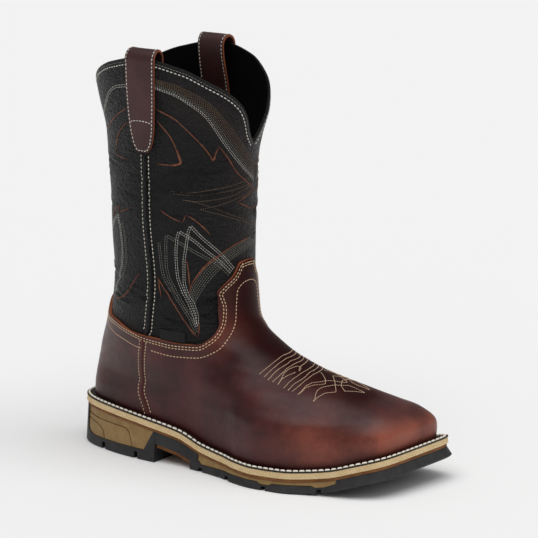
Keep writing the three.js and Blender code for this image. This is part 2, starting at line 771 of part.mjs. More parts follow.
const vampRegion = sidePrism([
  ...seamPoints(beside).slice(0, -1).filter(([, z]) => z < vampEdge[0].up * instepHeight - 4),
  [seamTop.along * bootLength + beside, vampEdge[0].up * instepHeight],
  ...sidePoints(vampEdge).slice(1),
  [2 * bootLength, above], [2 * bootLength, below],
  [footSeam[0].along * bootLength + beside, below],
]);
const counterRegion = sidePrism([
  ...seamPoints(-beside).slice(0, -1).filter(([, z]) => z < vampEdge[0].up * instepHeight - 4),
  [seamTop.along * bootLength - beside, counterEdge[0].up * instepHeight],
  ...sidePoints(counterEdge).slice(1),
  [-above, counterEdge[counterEdge.length - 1].up * instepHeight], [-above, below],
  [footSeam[0].along * bootLength - beside, below],
]);
const seamRegion = sidePrism([
  ...seamPoints(-seamWidth / 2).slice(0, -1),
  [seamTop.along * bootLength - seamWidth / 2, vampEdge[0].up * instepHeight],
  [seamTop.along * bootLength + seamWidth / 2, vampEdge[0].up * instepHeight],
  ...seamPoints(seamWidth / 2).slice(0, -1).reverse(),
  [footSeam[0].along * bootLength + seamWidth / 2, below],
  [footSeam[0].along * bootLength - seamWidth / 2, below],
]);
function halfSpace(side) {
  const box = new THREE.BoxGeometry(4 * bootLength, prismHalf, 4 * shaftHeight);
  box.translate(0, (side * prismHalf) / 2, 0);
  box.deleteAttribute('normal');
  box.deleteAttribute('uv');
  return solidOf(mergeVertices(box));
}
const halves = { lateral: halfSpace(-1), medial: halfSpace(1) };
add('vamp', geometryOfSolid(overlayShell.intersect(vampRegion)), leatherBrown);
add('heel_counter', geometryOfSolid(overlayShell.intersect(counterRegion)), leatherBrown);
for (const side of ['lateral', 'medial']) {
  const ridge = ridgeShell.intersect(seamRegion).intersect(halves[side]);
  add(`foot_seam_${side}`, geometryOfSolid(ridge), leatherBrown);
}

// Piping up each side of the shaft, from the vamp to the tip of the pull strap
const shaftLevels = footLevels.filter((level) => level > 6);
function collarRow(turns, share, offset) {
  return turns.map((turn) => skinPoint(turn, mix(shaftLevel, collarLevel(turn), share), offset));
}
function aboveFoot(offset) {
  return [
    ...shaftLevels.map((level) => shellRow(upperTurns, level, offset)),
    ...collarSteps.map((share) => collarRow(upperTurns, share, offset)),
  ];
}
const shaftShell = (outer) => solidOf(wall(aboveFoot(outer), aboveFoot(clearance), true));
const pipingShell = shaftShell(clearance + pipingHeight);
const strapTip = strapTop - strapLength;
const piping = [
  { along: 0.287, up: 0 },
  { along: 0.295, up: 0.09 },
  { along: 0.303, up: 0.25 },
  { along: 0.297, up: 0.47 },
  { along: 0.289, up: 0.7 },
  { along: 0.287, up: 1 },
];
const pipingFoot = vampEdge[0].up * instepHeight + 1.5 * clearance;
const pipingPoints = (offset) => piping.map(({ along, up }) => [
  along * bootLength + offset, mix(pipingFoot, strapTip - 1, up),
]);
const pipingRegion = sidePrism([
  ...pipingPoints(-pipingWidth / 2),
  ...pipingPoints(pipingWidth / 2).reverse(),
]);
for (const side of ['lateral', 'medial']) {
  const strip = pipingShell.intersect(pipingRegion).intersect(halves[side]);
  add(`side_piping_${side}`, geometryOfSolid(strip), leatherBlack);
}

// Small tab over the vamp's edge on the outer side
const tabFoot = vampEdge[2].up * instepHeight + 2 * clearance;
const tabRegion = sidePrism([
  [tabAt - tabWidth / 2, tabFoot + 1.6], [tabAt + tabWidth / 2, tabFoot],
  [tabAt + tabWidth / 2, tabFoot + tabHeight], [tabAt - tabWidth / 2, tabFoot + tabHeight + 1.6],
]);
const tab = shaftShell(clearance + tabThickness).intersect(tabRegion).intersect(halves.lateral);
add('side_tab', geometryOfSolid(tab), leatherBlack);

// Pull straps: a leg outside the shaft, an arch over the collar and a leg inside, sewn at
// its end. The table gives the outer leg's half width by share of its length.
const strapOutline = [
  { at: 0, half: 0.15 },
  { at: 0.04, half: 0.25 },
  { at: 0.11, half: 0.34 },
  { at: 0.3, half: 0.43 },
  { at: 0.6, half: 0.48 },
  { at: 1, half: 0.5 },
];
const shaftLevelAt = (z) => solve(shaftLevel, topLevel, (level) => lastPoint(Math.PI / 2, level)[2] < z);
function shaftTurnAt(x, level, side) {
  const turn = solve(0, Math.PI, (angle) => lastPoint(angle, level)[0] > x);
  return side * turn;
}
function onShaft(x, z, side, offset) {
  const level = shaftLevelAt(z);
  return skinPoint(shaftTurnAt(x, level, side), level, offset);
}
const strapMiddle = 2 * clearance + strapLeather / 2;
const archStart = strapTop - strapArch;
const archDepth = (strapLoopDepth - strapLeather) / 2;
const archRise = strapArch - strapLeather / 2;
const strapColumns = [-1, -0.5, 0, 0.5, 1];
function strapRows(side, face) {
  const rows = [];
  const legSteps = [0, 0.04, 0.11, 0.2, 0.35, 0.6, 0.8, 1];
  for (const step of legSteps) {
    const z = mix(strapTip, archStart, step);
    const half = read(strapOutline, 'half', step) * strapWidth;
    rows.push(strapColumns.map((c) =>
      onShaft(strapAt + c * half, z, side, strapMiddle + (face * strapLeather) / 2)));
  }
  const archSteps = 8;
  for (let i = 1; i < archSteps; i += 1) {
    const angle = (Math.PI * i) / archSteps;
    rows.push(strapColumns.map((c) => {
      const x = strapAt + (c * strapWidth) / 2;
      const base = onShaft(x, archStart, side, strapMiddle);
      const out = minus(onShaft(x, archStart, side, strapMiddle + 1), base);
      const reach = (archDepth + (face * strapLeather) / 2) * Math.cos(angle) - archDepth;
      const rise = (archRise + (face * strapLeather) / 2) * Math.sin(angle);
      return [base[0] + out[0] * reach, base[1] + out[1] * reach, base[2] + out[2] * reach + rise];
    }));
  }
  const innerMiddle = -upperWall - 2 * clearance - strapLeather / 2;
  const loopMiddle = strapMiddle - 2 * archDepth;
  const innerSteps = [0, 0.25, 0.5, 0.75, 1 - strapSewnLength / strapInnerLength, 1];
  for (const step of innerSteps) {
    const away = 1 - smooth(0, 1 - strapSewnLength / strapInnerLength, step);
    const middle = mix(innerMiddle, loopMiddle, away);
    const z = archStart - step * strapInnerLength;
    rows.push(strapColumns.map((c) =>
      onShaft(strapAt + (c * strapWidth) / 2, z, side, middle - (face * strapLeather) / 2)));
  }
  return rows;
}
for (const [name, side] of [['lateral', -1], ['medial', 1]]) {
  add(`pull_strap_${name}`, wall(strapRows(side, 1), strapRows(side, -1), false), leatherBrown);
}

boot.position.x = -heelRestAt;
export default boot;
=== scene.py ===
"""Western work boot, right foot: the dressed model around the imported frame."""
import math

import bmesh
import bpy
import numpy as np
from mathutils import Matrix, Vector


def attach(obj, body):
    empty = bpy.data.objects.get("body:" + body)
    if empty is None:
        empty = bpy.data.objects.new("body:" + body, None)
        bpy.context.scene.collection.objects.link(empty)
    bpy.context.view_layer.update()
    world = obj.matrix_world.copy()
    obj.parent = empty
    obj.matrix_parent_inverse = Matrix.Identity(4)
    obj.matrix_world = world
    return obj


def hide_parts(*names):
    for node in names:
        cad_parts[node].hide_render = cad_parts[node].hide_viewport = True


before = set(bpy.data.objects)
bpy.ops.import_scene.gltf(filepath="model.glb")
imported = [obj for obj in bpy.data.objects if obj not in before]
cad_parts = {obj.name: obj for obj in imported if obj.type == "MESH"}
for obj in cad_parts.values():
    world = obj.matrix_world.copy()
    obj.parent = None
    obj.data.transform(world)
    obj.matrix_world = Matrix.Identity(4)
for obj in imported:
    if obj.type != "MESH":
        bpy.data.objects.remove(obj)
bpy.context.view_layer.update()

# Sizes in millimetres, measured from the back of the welt as the part's maker does
MM = 0.001
ORIGIN = 54.0
BOOT = 310.0
INSTEP = 110.0
SHAFT = 332.0
SHAFT_DEPTH = 126.0
SHAFT_WIDTH = 98.0
SHAFT_AXIS = 0.297 * BOOT
TOE_WIDTH = 109.0
TOE_SKEW = 8.5
DIP_FRONT = 68.0
DIP_BACK = 33.0
UPPER_INSET = 8.6
WALL = 2.2
LEATHER = 1.9
GAP = 0.3
LAYER_GAP = 0.5
TAU = 2 * math.pi


def curve(at, values):
    """Smooth curve through a table's column, without overshoot between its rows."""
    at = np.asarray(at, float)
    values = np.asarray(values, float)
    steps = np.diff(values) / np.diff(at)
    slope = np.empty_like(values)
    slope[0], slope[-1] = steps[0], steps[-1]
    before, after = steps[:-1], steps[1:]
    total = np.where(before * after > 0, before + after, 1)
    slope[1:-1] = np.where(before * after > 0, 2 * before * after / total, 0)

    def value(x):
        x = np.clip(x, at[0], at[-1])
        i = np.clip(np.searchsorted(at, x, "right") - 1, 0, len(at) - 2)
        span = at[i + 1] - at[i]
        t = (x - at[i]) / span
        rise = values[i + 1] - values[i]
        a = slope[i] * span - rise
        b = rise - slope[i + 1] * span
        return values[i] + t * rise + t * (1 - t) * (a * (1 - t) + b * t)

    return value


def mix(a, b, share):
    return a + (b - a) * share


def smooth(low, high, value):
    t = np.clip((value - low) / (high - low), 0, 1)
    return t * t * (3 - 2 * t)


# Half widths of the sole's outline: along, lateral, medial
OUTLINE = [
    (0.0, 45.0, 43.0),
    (0.1, 45.0, 43.0),
    (0.18, 45.9, 43.3),
    (0.29, 46.6, 41.0),
    (0.4, 45.1, 35.4),
    (0.52, 51.1, 38.2),
    (0.58, 58.0, 44.3),
    (0.645, 62.0, 49.5),
    (0.726, 61.0, 54.0),
    (0.806, 54.5, 57.4),
    (0.887, 50.0, 61.5),
    (1.0, 50.0, 64.0),
]
along, lateral_half, medial_half = zip(*OUTLINE)
lateral_width = curve(along, lateral_half)
medial_width = curve(along, medial_half)

# Height of the welt's top: share of the heel's rise, share of the toe's rise, ground's rise
HEIGHTS = [
    (0.0, 1.15, 0, 0),
    (0.16, 1.02, 0, 0),
    (0.29, 0.83, 0, 0),
    (0.37, 0.62, 0, 0),
    (0.45, 0.215, 0, 0),
    (0.55, 0.05, 0, 0),
    (0.645, 0, 0, 0),
    (0.745, 0, 0.04, 0),
    (0.84, 0, 0.22, 0.16),
    (0.92, 0, 0.65, 0.57),
    (1.0, 0, 1.07, 0.96),
    (1.05, 0, 1.32, 1.2),
]
along, heel_rise, toe_rise, ground_rise = zip(*HEIGHTS)
heel_share = curve(along, heel_rise)
toe_share = curve(along, toe_rise)
ground_share = curve(along, ground_rise)

COLLAR = [
    (0.0, 1.0, 0),
    (0.044, 0.868, 0),
    (0.083, 0.676, 0),
    (0.117, 0.53, 0),
    (0.178, 0.382, 0),
    (0.256, 0.25, 0),
    (0.35, 0.103, 0),
    (0.5, 0, 0),
    (0.65, 0, 0.2),
    (0.744, 0, 0.43),
    (0.833, 0, 0.7),
    (0.917, 0, 0.93),
    (1.0, 0, 1.0),
]
along, dip_front, dip_back = zip(*COLLAR)
front_dip = curve(along, dip_front)
back_dip = curve(along, dip_back)

# Layers of the sole, from the welt's top down
WELT = 1.2
MIDSOLE = 4.2
SLIP = 2.0


def welt_top(x):
    return 17.2 + heel_share(x / BOOT) * 20.5 + toe_share(x / BOOT) * 16.3


def ground(x):
    return ground_share(x / BOOT) * 17.5


def midsole_top(x):
    return welt_top(x) - WELT - LAYER_GAP


def midsole_bottom(x):
    return midsole_top(x) - MIDSOLE


def slip_top(x):
    return midsole_bottom(x) - LAYER_GAP


def slip_bottom(x):
    return slip_top(x) - SLIP


def outsole_top(x):
    return slip_bottom(x) - LAYER_GAP


def feather(x):
    return midsole_top(x) + 1.6 * GAP


def edge_direction(turn, power):
    c, s = np.cos(turn), np.sin(turn)
    reach = (np.abs(c) ** power + np.abs(s) ** power) ** (-1 / power)
    return c * reach, s * reach


def corner_power(turn, share):
    toe = np.where(np.sin(turn) < 0, 4.5, 7.0)
    return 2 + (np.where(np.cos(turn) < 0, 2.9, toe) - 2) * share


def half_outline(turn, x):
    return np.where(np.sin(turn) < 0, lateral_width(x / BOOT), medial_width(x / BOOT))


def skew(x, y, share):
    return TOE_SKEW * share * (y / TOE_WIDTH) * 2 * smooth(0.7, 1, x / BOOT)


def outline(turn, inset):
    """Point of the sole's outline, moved inward by an inset."""
    c, s = edge_direction(turn, corner_power(turn, 1))
    x = BOOT / 2 + c * (BOOT / 2 - inset)
    y = s * (half_outline(turn, x) - inset)
    return x + skew(x, y, 1), y


# Sections of the last: back, its rise, front, its rise, follow, heel and fore girth, oval,
# half width, corner. The first ten belong to the foot, the others to the shaft.
FOOT = [
    (0.0285, 0.455, 0.9765, 0.42, 0.75, 1.03, 1.045, 0, 0.41, 0.85),
    (0.029, 0.536, 0.958, 0.525, 0.45, 1.045, 1.017, 0, 0.42, 0.5),
    (0.031, 0.591, 0.925, 0.586, 0.25, 1.06, 0.925, 0.1, 0.4, 0.28),
    (0.035, 0.645, 0.8645, 0.638, 0.1, 1.1, 0.84, 0.2, 0.415, 0.16),
    (0.04, 0.7, 0.787, 0.6855, 0.02, 1.14, 0.78, 0.3, 0.43, 0.08),
    (0.046, 0.764, 0.713, 0.74, 0, 1.18, 0.75, 0.42, 0.442, 0.04),
    (0.0545, 0.836, 0.6484, 0.804, 0, 1.22, 0.76, 0.56, 0.456, 0),
    (0.066, 0.918, 0.588, 0.887, 0, 1.25, 0.8, 0.73, 0.47, 0),
    (0.0775, 1.01, 0.534, 0.973, 0, 1.28, 0.86, 0.88, 0.482, 0),
]
LEG = [
    (0.068, 0.5125, 0.045, 0.508, 0.491, 0.96),
    (0.149, 0.498, 0.122, 0.489, 0.492, 1),
    (0.225, 0.4935, 0.216, 0.48, 0.49, 1),
    (0.405, 0.512, 0.405, 0.494, 0.5, 1),
    (0.599, 0.526, 0.599, 0.503, 0.508, 1),
    (0.703, 0.5435, 0.703, 0.54, 0.525, 1),
    (0.82, 0.6, 0.82, 0.595, 0.547, 1),
    (0.93, 0.632, 0.93, 0.602, 0.558, 1),
    (1.03, 0.645, 1.03, 0.602, 0.562, 1),
]
feather_back = UPPER_INSET
feather_front = BOOT - UPPER_INSET
rows = [(feather_back, float(feather(feather_back)), feather_front,
         float(feather(feather_front)), 1, 1, 1, 0, 0.4, 1)]
for back, back_up, front, front_up, *rest in FOOT:
    rows.append((back * BOOT, back_up * INSTEP, front * BOOT, front_up * INSTEP, *rest))
for back_up, back, front_up, front, half, oval in LEG:
    rows.append((SHAFT_AXIS - back * SHAFT_DEPTH, mix(INSTEP, SHAFT, back_up),
                 SHAFT_AXIS + front * SHAFT_DEPTH, mix(INSTEP, SHAFT, front_up),
                 0, 1.2, 0.9, oval, half, 0))
COLUMNS = ("back", "back_rise", "front", "front_rise", "follow", "heel", "fore", "oval",
           "half", "corner")
section = {name: curve(range(len(rows)), column) for name, column in zip(COLUMNS, zip(*rows))}
SHAFT_LEVEL = 12
TOP_LEVEL = len(rows) - 1
first_back, first_rise, first_front, first_front_rise = rows[0][:4]


def last(turn, level):
    """Point of the upper's outer face, as arrays of x, y, z on the last axis."""
    turn, level = np.broadcast_arrays(np.asarray(turn, float), np.asarray(level, float))
    value = {name: read(level) for name, read in section.items()}
    corner, oval = value["corner"], value["oval"]
    c, s = edge_direction(turn, corner_power(turn, corner))
    x = mix(value["back"], value["front"], (c + 1) / 2)
    share = (x - value["back"]) / (value["front"] - value["back"])
    foot_half = half_outline(turn, x) - UPPER_INSET
    girth = mix(value["heel"], value["fore"], smooth(0.35, 0.85, share))
    half = mix(foot_half * girth, value["half"] * SHAFT_WIDTH, oval)
    swing = 4.0 * share * share * (1 - s * s) * (1 - oval) * (1 - corner)
    y = s * half + swing
    x = x + skew(x, y, corner)
    sole_share = (x - first_back) / (first_front - first_back)
    bend = feather(x) - mix(first_rise, first_front_rise, sole_share)
    z = mix(value["back_rise"], value["front_rise"], share) + value["follow"] * bend
    return np.stack([x, y, z], -1)


def normal_at(turn, level):
    around = last(turn + 0.02, level) - last(turn - 0.02, level)
    up = last(turn, np.minimum(TOP_LEVEL, level + 0.08)) - last(turn, np.maximum(0, level - 0.08))
    normal = np.cross(around, up)
    return normal / np.linalg.norm(normal, axis=-1, keepdims=True)


def half_turn(turn):
    return np.arccos(np.clip(np.cos(turn), -1, 1)) / math.pi


def bisect(low, high, is_below, shape):
    a = np.full(shape, float(low))
    b = np.full(shape, float(high))
    for _ in range(36):
        middle = (a + b) / 2
        below = is_below(middle)
        a = np.where(below, middle, a)
        b = np.where(below, b, middle)
    return (a + b) / 2


def level_of(turn, z):
    turn, z = np.broadcast_arrays(np.asarray(turn, float), np.asarray(z, float))
    return bisect(0, TOP_LEVEL, lambda level: last(turn, level)[..., 2] < z, turn.shape)


def collar_height(turn):
    at = half_turn(turn)
    return SHAFT - front_dip(at) * DIP_FRONT - back_dip(at) * DIP_BACK


def side_point(x, z, side):
    """Turn and level of a point of the side view; side is -1 for lateral."""
    x, z = np.broadcast_arrays(np.asarray(x, float), np.asarray(z, float))
    turn = np.full(x.shape, math.pi / 2)
    for _ in range(10):
        level = level_of(side * turn, z)
        turn = bisect(0, math.pi, lambda t: last(side * t, level)[..., 0] > x, x.shape)
    return side * turn, level


def skin(turn, level, offset):
    """The upper's face moved out along its normal, in metres in the frame of the solids."""
    point = last(turn, level) + normal_at(turn, level) * np.asarray(offset, float)[..., None]
    return to_frame(point)


def to_frame(point):
    return (point - (ORIGIN, 0, 0)) * MM


# Materials
def new_material(name, roughness, coat=0.0, coat_roughness=0.3, sheen=0.0, specular=0.5):
    material = bpy.data.materials.new(name)
    material.use_nodes = True
    shader = material.node_tree.nodes["Principled BSDF"]
    shader.inputs["Roughness"].default_value = roughness
    shader.inputs["Coat Weight"].default_value = coat
    shader.inputs["Coat Roughness"].default_value = coat_roughness
    shader.inputs["Sheen Weight"].default_value = sheen
    shader.inputs["Specular IOR Level"].default_value = specular
    return material, material.node_tree, shader


def node(tree, kind, **values):
    made = tree.nodes.new(kind)
    for key, value in values.items():
        if key in made.inputs:
            made.inputs[key].default_value = value
        else:
            setattr(made, key, value)
    return made


def rgb(text):
    """Linear colour from the hexadecimal sRGB one."""
    parts = [int(text[i:i + 2], 16) / 255 for i in (0, 2, 4)]
    linear = [c / 12.92 if c <= 0.04045 else ((c + 0.055) / 1.055) ** 2.4 for c in parts]
    return (*linear, 1)


def ramp(tree, source, stops):
    made = tree.nodes.new("ShaderNodeValToRGB")
    elements = made.color_ramp.elements
    while len(elements) < len(stops):
        elements.new(0.5)
    for element, (at, colour) in zip(elements, stops):
        element.position = at
        element.color = rgb(colour) if isinstance(colour, str) else (colour, colour, colour, 1)
    tree.links.new(source, made.inputs["Fac"])
    return made.outputs["Color"]


def noise(tree, scale, detail=3.0, roughness=0.55, stretch=None):
    coords = tree.nodes.new("ShaderNodeTexCoord")
    made = node(tree, "ShaderNodeTexNoise", Scale=scale, Detail=detail, Roughness=roughness)
    source = coords.outputs["Object"]
    if stretch:
        mapping = tree.nodes.new("ShaderNodeMapping")
        mapping.inputs["Scale"].default_value = stretch
        tree.links.new(source, mapping.inputs["Vector"])
        source = mapping.outputs["Vector"]
    tree.links.new(source, made.inputs["Vector"])
    return made.outputs["Fac"]


def cells(tree, scale, feature="F1", smoothness=0.4):
    coords = tree.nodes.new("ShaderNodeTexCoord")
    made = node(tree, "ShaderNodeTexVoronoi", Scale=scale)
    made.feature = feature
    if feature == "SMOOTH_F1":
        made.inputs["Smoothness"].default_value = smoothness
    tree.links.new(coords.outputs["Object"], made.inputs["Vector"])
    return made.outputs["Distance"]


def bump(tree, shader, layers):
    """Chain of bumps, each a height source, its strength and its depth in metres."""
    before = None
    for source, strength, distance in layers:
        made = node(tree, "ShaderNodeBump", Strength=strength, Distance=distance)
        tree.links.new(source, made.inputs["Height"])
        if before:
            tree.links.new(before, made.inputs["Normal"])
        before = made.outputs["Normal"]
    tree.links.new(before, shader.inputs["Normal"])


def blend(tree, factor, first, second, kind="MIX"):
    made = tree.nodes.new("ShaderNodeMix")
    made.data_type = "RGBA"
    made.blend_type = kind
    for value, name in ((factor, "Factor"), (first, "A"), (second, "B")):
        socket = next(s for s in made.inputs if s.name == name and
                      (s.type == "RGBA" if name != "Factor" else s.type == "VALUE"))
        if isinstance(value, (int, float, tuple)):
            socket.default_value = value
        else:
            tree.links.new(value, socket)
    return next(s for s in made.outputs if s.type == "RGBA")


def shade_attribute(tree, name):
    """A value of the mesh itself, such as its painted shade, or its warm tint with painted highlights."""
    made = tree.nodes.new("ShaderNodeAttribute")
    made.attribute_name = name
    return made.outputs["Fac"]


def black_leather():
    """Pebbled leather; the mesh's tint turns it to the brown that shows where it is stretched, and painted shade
    darkens the troughs of its wrinkles.
    """
    material, tree, shader = new_material("shaft_black", 0.45, specular=0.26)
    tone = noise(tree, 38, 5)
    base = ramp(tree, tone, [(0.3, "08080a"), (0.7, "131416")])
    base = blend(tree, shade_attribute(tree, "glow"), base, rgb("2c1b18"))
    pits = cells(tree, 620, "SMOOTH_F1")
    worn = ramp(tree, pits, [(0.1, "2a2a2d"), (0.45, "030304")])
    wrinkles = noise(tree, 170, 5, 0.6, stretch=(1, 1, 3.0))
    base = blend(tree, 0.45, base, worn)
    # Painted shade: the wrinkles' troughs, which the bump below sinks, are darkened.
    base = blend(tree, 0.6, base, ramp(tree, wrinkles, [(0.4, 0.4), (0.62, 1.0)]), "MULTIPLY")
    tree.links.new(base, shader.inputs["Base Color"])
    rough = ramp(tree, noise(tree, 300, 4), [(0.3, 0.34), (0.75, 0.52)])
    tree.links.new(rough, shader.inputs["Roughness"])
    bump(tree, shader, [(cells(tree, 430, "SMOOTH_F1"), 1.0, 0.0016),
                        (noise(tree, 1500, 4), 0.35, 0.0002),
                        (wrinkles, 1.0, 0.004)])
    return material


def brown_leather(name, light, dark, painted_shade_colour, warm, gloss=0.36):
    """Oiled leather; the mesh's painted shade darkens it, and its warm tint, partly burnished leather and partly
    painted highlight, turns it to the warm tone.
    """
    material, tree, shader = new_material(name, gloss, coat=0.05, coat_roughness=0.35)
    tone = noise(tree, 24, 5, 0.6)
    base = ramp(tree, tone, [(0.34, dark), (0.66, light)])
    patches = ramp(tree, noise(tree, 34, 4, 0.55), [(0.36, 0.35), (0.62, 1.0)])
    glow = blend(tree, 1.0, shade_attribute(tree, "glow"), patches, "MULTIPLY")
    base = blend(tree, glow, base, rgb(warm))
    fine = ramp(tree, noise(tree, 480, 5, 0.7), [(0.35, 0.55), (0.65, 1.0)])
    base = blend(tree, 0.4, base, fine, "MULTIPLY")
    # Painted shade: the shade value mixes in its colour and turns the specular down there.
    shade = shade_attribute(tree, "shade")
    tree.links.new(blend(tree, shade, base, rgb(painted_shade_colour)), shader.inputs["Base Color"])
    dull = ramp(tree, shade, [(0.0, 0.3), (0.7, 0.03)])
    tree.links.new(dull, shader.inputs["Specular IOR Level"])
    rough = ramp(tree, noise(tree, 210, 5, 0.65), [(0.3, gloss - 0.04), (0.75, gloss + 0.14)])
    tree.links.new(rough, shader.inputs["Roughness"])
    bump(tree, shader, [(noise(tree, 1300, 5, 0.7), 0.3, 0.0002),
                        (cells(tree, 1500, "SMOOTH_F1"), 0.2, 0.00015),
                        (noise(tree, 60, 4), 0.2, 0.0008)])
    return material


def plain(name, first, second, roughness, scale=400, depth=0.0002, specular=0.35):
    material, tree, shader = new_material(name, roughness, specular=specular)
    base = ramp(tree, noise(tree, scale / 6, 5, 0.6), [(0.3, first), (0.7, second)])
    tree.links.new(base, shader.inputs["Base Color"])
    bump(tree, shader, [(noise(tree, scale * 2, 5, 0.7), 0.4, depth),
                        (noise(tree, scale / 3, 4, 0.6), 0.3, 2 * depth)])
    return material


def cream_layer():
    """Pressed midsole edge with fine slanting strokes."""
    material, tree, shader = new_material("midsole_cream", 0.72, specular=0.3)
    coords = tree.nodes.new("ShaderNodeTexCoord")
    strokes = node(tree, "ShaderNodeTexWave", Scale=230.0, Distortion=5.0, Detail=3.0)
    strokes.bands_direction = "DIAGONAL"
    tree.links.new(coords.outputs["Object"], strokes.inputs["Vector"])
    base = ramp(tree, noise(tree, 90, 5, 0.6), [(0.3, "cfae78"), (0.7, "e4ca9a")])
    dark = ramp(tree, strokes.outputs["Fac"], [(0.15, "a88458"), (0.5, "f0dcb4")])
    tree.links.new(blend(tree, 0.45, base, dark), shader.inputs["Base Color"])
    bump(tree, shader, [(strokes.outputs["Fac"], 0.5, 0.0003), (noise(tree, 900, 4), 0.3, 0.0002)])
    return material


shaft_black = black_leather()
# Colours: light, dark, the painted shade's colour, and the warm colour of burnished leather that also carries
# painted highlights.
foot_brown = brown_leather("foot_brown", "542523", "300f10", "1c0605", "9c5340")
strap_brown = brown_leather("strap_brown", "4c2c2b", "371f1f", "1a0c0b", "6a3a32", 0.42)
strap_edge = plain("cut_edge", "7a3a1c", "9c5630", 0.7)
seam_red = plain("seam_cord_red", "3a100c", "541a14", 0.5)
lining_black = plain("lining_black", "020203", "060607", 0.95, specular=0.1)
welt_dark = plain("welt_dark", "0f0b09", "1c140f", 0.55)
cream_rubber = cream_layer()
tan_rubber = plain("sole_tan", "6a3f1c", "8f5f33", 0.7)
taupe_rubber = plain("outsole_taupe", "86693f", "9c7f52", 0.62, 700, 0.0001)
black_rubber = plain("outsole_black", "212021", "343233", 0.6, 600, 0.00015)
thread_white = plain("thread_white", "c4c2ba", "e8e6de", 0.8, 3000, 0.0001)
thread_grey = plain("thread_grey", "6c6b64", "96958c", 0.8, 3000, 0.0001)
thread_cream = plain("thread_cream", "d0a882", "f0d4b0", 0.8, 3000, 0.0001)
thread_pale = plain("thread_pale", "c9c1b2", "eae4d8", 0.8, 3000, 0.0001)
thread_toe = plain("thread_toe", "c09c80", "e4c6a8", 0.8, 3000, 0.0001)
thread_welt = plain("thread_welt", "efe6d4", "fdf6e8", 0.8, 3000, 0.0001)
thread_dim = plain("thread_dim", "64503e", "8a7460", 0.8, 3000, 0.0001)
inlay_brown = plain("inlay_brown", "4a2418", "8a5236", 0.55, 1500)


# Meshes from arrays
def mesh_piece(name, points, faces, materials, slot=None, smooth_shading=True, face_slots=None,
               shade=None, glow=None):
    points = np.asarray(points, np.float32).reshape(-1, 3)
    faces = [np.asarray(group, np.int32) for group in (faces if isinstance(faces, list) else [faces])]
    mesh = bpy.data.meshes.new(name)
    sizes = np.concatenate([np.full(len(group), group.shape[1], np.int32) for group in faces])
    loops = np.concatenate([group.ravel() for group in faces])
    mesh.vertices.add(len(points))
    mesh.vertices.foreach_set("co", points.ravel())
    mesh.loops.add(len(loops))
    mesh.loops.foreach_set("vertex_index", loops)
    mesh.polygons.add(len(sizes))
    mesh.polygons.foreach_set("loop_start", np.concatenate([[0], np.cumsum(sizes)[:-1]]))
    mesh.polygons.foreach_set("loop_total", sizes)
    mesh.update(calc_edges=True)
    mesh.validate()
    mesh.polygons.foreach_set("use_smooth", np.full(len(mesh.polygons), smooth_shading))
    for material in materials:
        mesh.materials.append(material)
    if face_slots is not None:
        mesh.polygons.foreach_set("material_index", np.asarray(face_slots, np.int32))
    for tone_name, tone in (("shade", shade), ("glow", glow)):
        if tone is not None:
            layer = mesh.attributes.new(tone_name, "FLOAT", "POINT")
            layer.data.foreach_set("value", np.asarray(tone, np.float32).ravel())
    made = bpy.data.objects.new(name, mesh)
    bpy.context.scene.collection.objects.link(made)
    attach(made, "root")
    return made


def grid_faces(rows, columns, wraps, start=0, flip=False):
    i = np.arange(rows - 1)[:, None]
    j = np.arange(columns if wraps else columns - 1)[None, :]
    k = (j + 1) % columns
    quads = np.stack(np.broadcast_arrays(i * columns + j, i * columns + k,
                                         (i + 1) * columns + k, (i + 1) * columns + j), -1)
    quads = quads.reshape(-1, 4) + start
    return quads[:, ::-1] if flip else quads


def grid_piece(name, points, wraps, material, slot, flip=False, shade=None, **kept):
    rows, columns = points.shape[:2]
    faces = grid_faces(rows, columns, wraps, flip=flip)
    materials = material if isinstance(material, list) else [material]
    return mesh_piece(name, points, faces, materials, slot, shade=shade, **kept)


# Camera of the photograph, before everything that is seen
CAMERA_AT = (1.54208, -2.09917, 0.73871)
CAMERA_TO = (0.12034, 0.0, 0.1629)
lens = bpy.data.cameras.new("camera")
lens.lens = 217.47
lens.sensor_width = 36
lens.clip_end = 50
camera = bpy.data.objects.new("camera", lens)
bpy.context.scene.collection.objects.link(camera)
camera.location = CAMERA_AT
camera.rotation_euler = (Vector(CAMERA_TO) - Vector(CAMERA_AT)).to_track_quat("-Z", "Y").to_euler()
bpy.context.scene.camera = camera


def sun(name, place, strength, spread):
    """A far and wide soft light from the direction of a place, seen from the boot."""
    light = bpy.data.lights.new(name, "SUN")
    light.energy = strength
    light.angle = math.radians(spread)
    made = bpy.data.objects.new(name, light)
    made.rotation_euler = Vector(place).to_track_quat("Z", "Y").to_euler()
    bpy.context.scene.collection.objects.link(made)


sun("overhead", (0.1, -0.25, 1.0), 1.75, 60)
sun("toe_side", (0.9, 0.3, 0.9), 0.5, 50)
world = bpy.data.worlds.new("studio")
world.use_nodes = True
world.node_tree.nodes["Background"].inputs["Color"].default_value = (1, 1, 1, 1)
world.node_tree.nodes["Background"].inputs["Strength"].default_value = 0.28
bpy.context.scene.world = world
bpy.context.scene.view_settings.view_transform = "Standard"

floor_mesh = bpy.data.meshes.new("floor")
floor_mesh.from_pydata([(-9, -9, 0), (9, -9, 0), (9, 9, 0), (-9, 9, 0)], [], [(0, 1, 2, 3)])
floor = bpy.data.objects.new("floor", floor_mesh)
bpy.context.scene.collection.objects.link(floor)
floor_material, floor_tree, floor_shader = new_material("floor", 0.9, specular=0.0)
floor_shader.inputs["Base Color"].default_value = (0.96, 0.96, 0.96, 1)
floor_mesh.materials.append(floor_material)


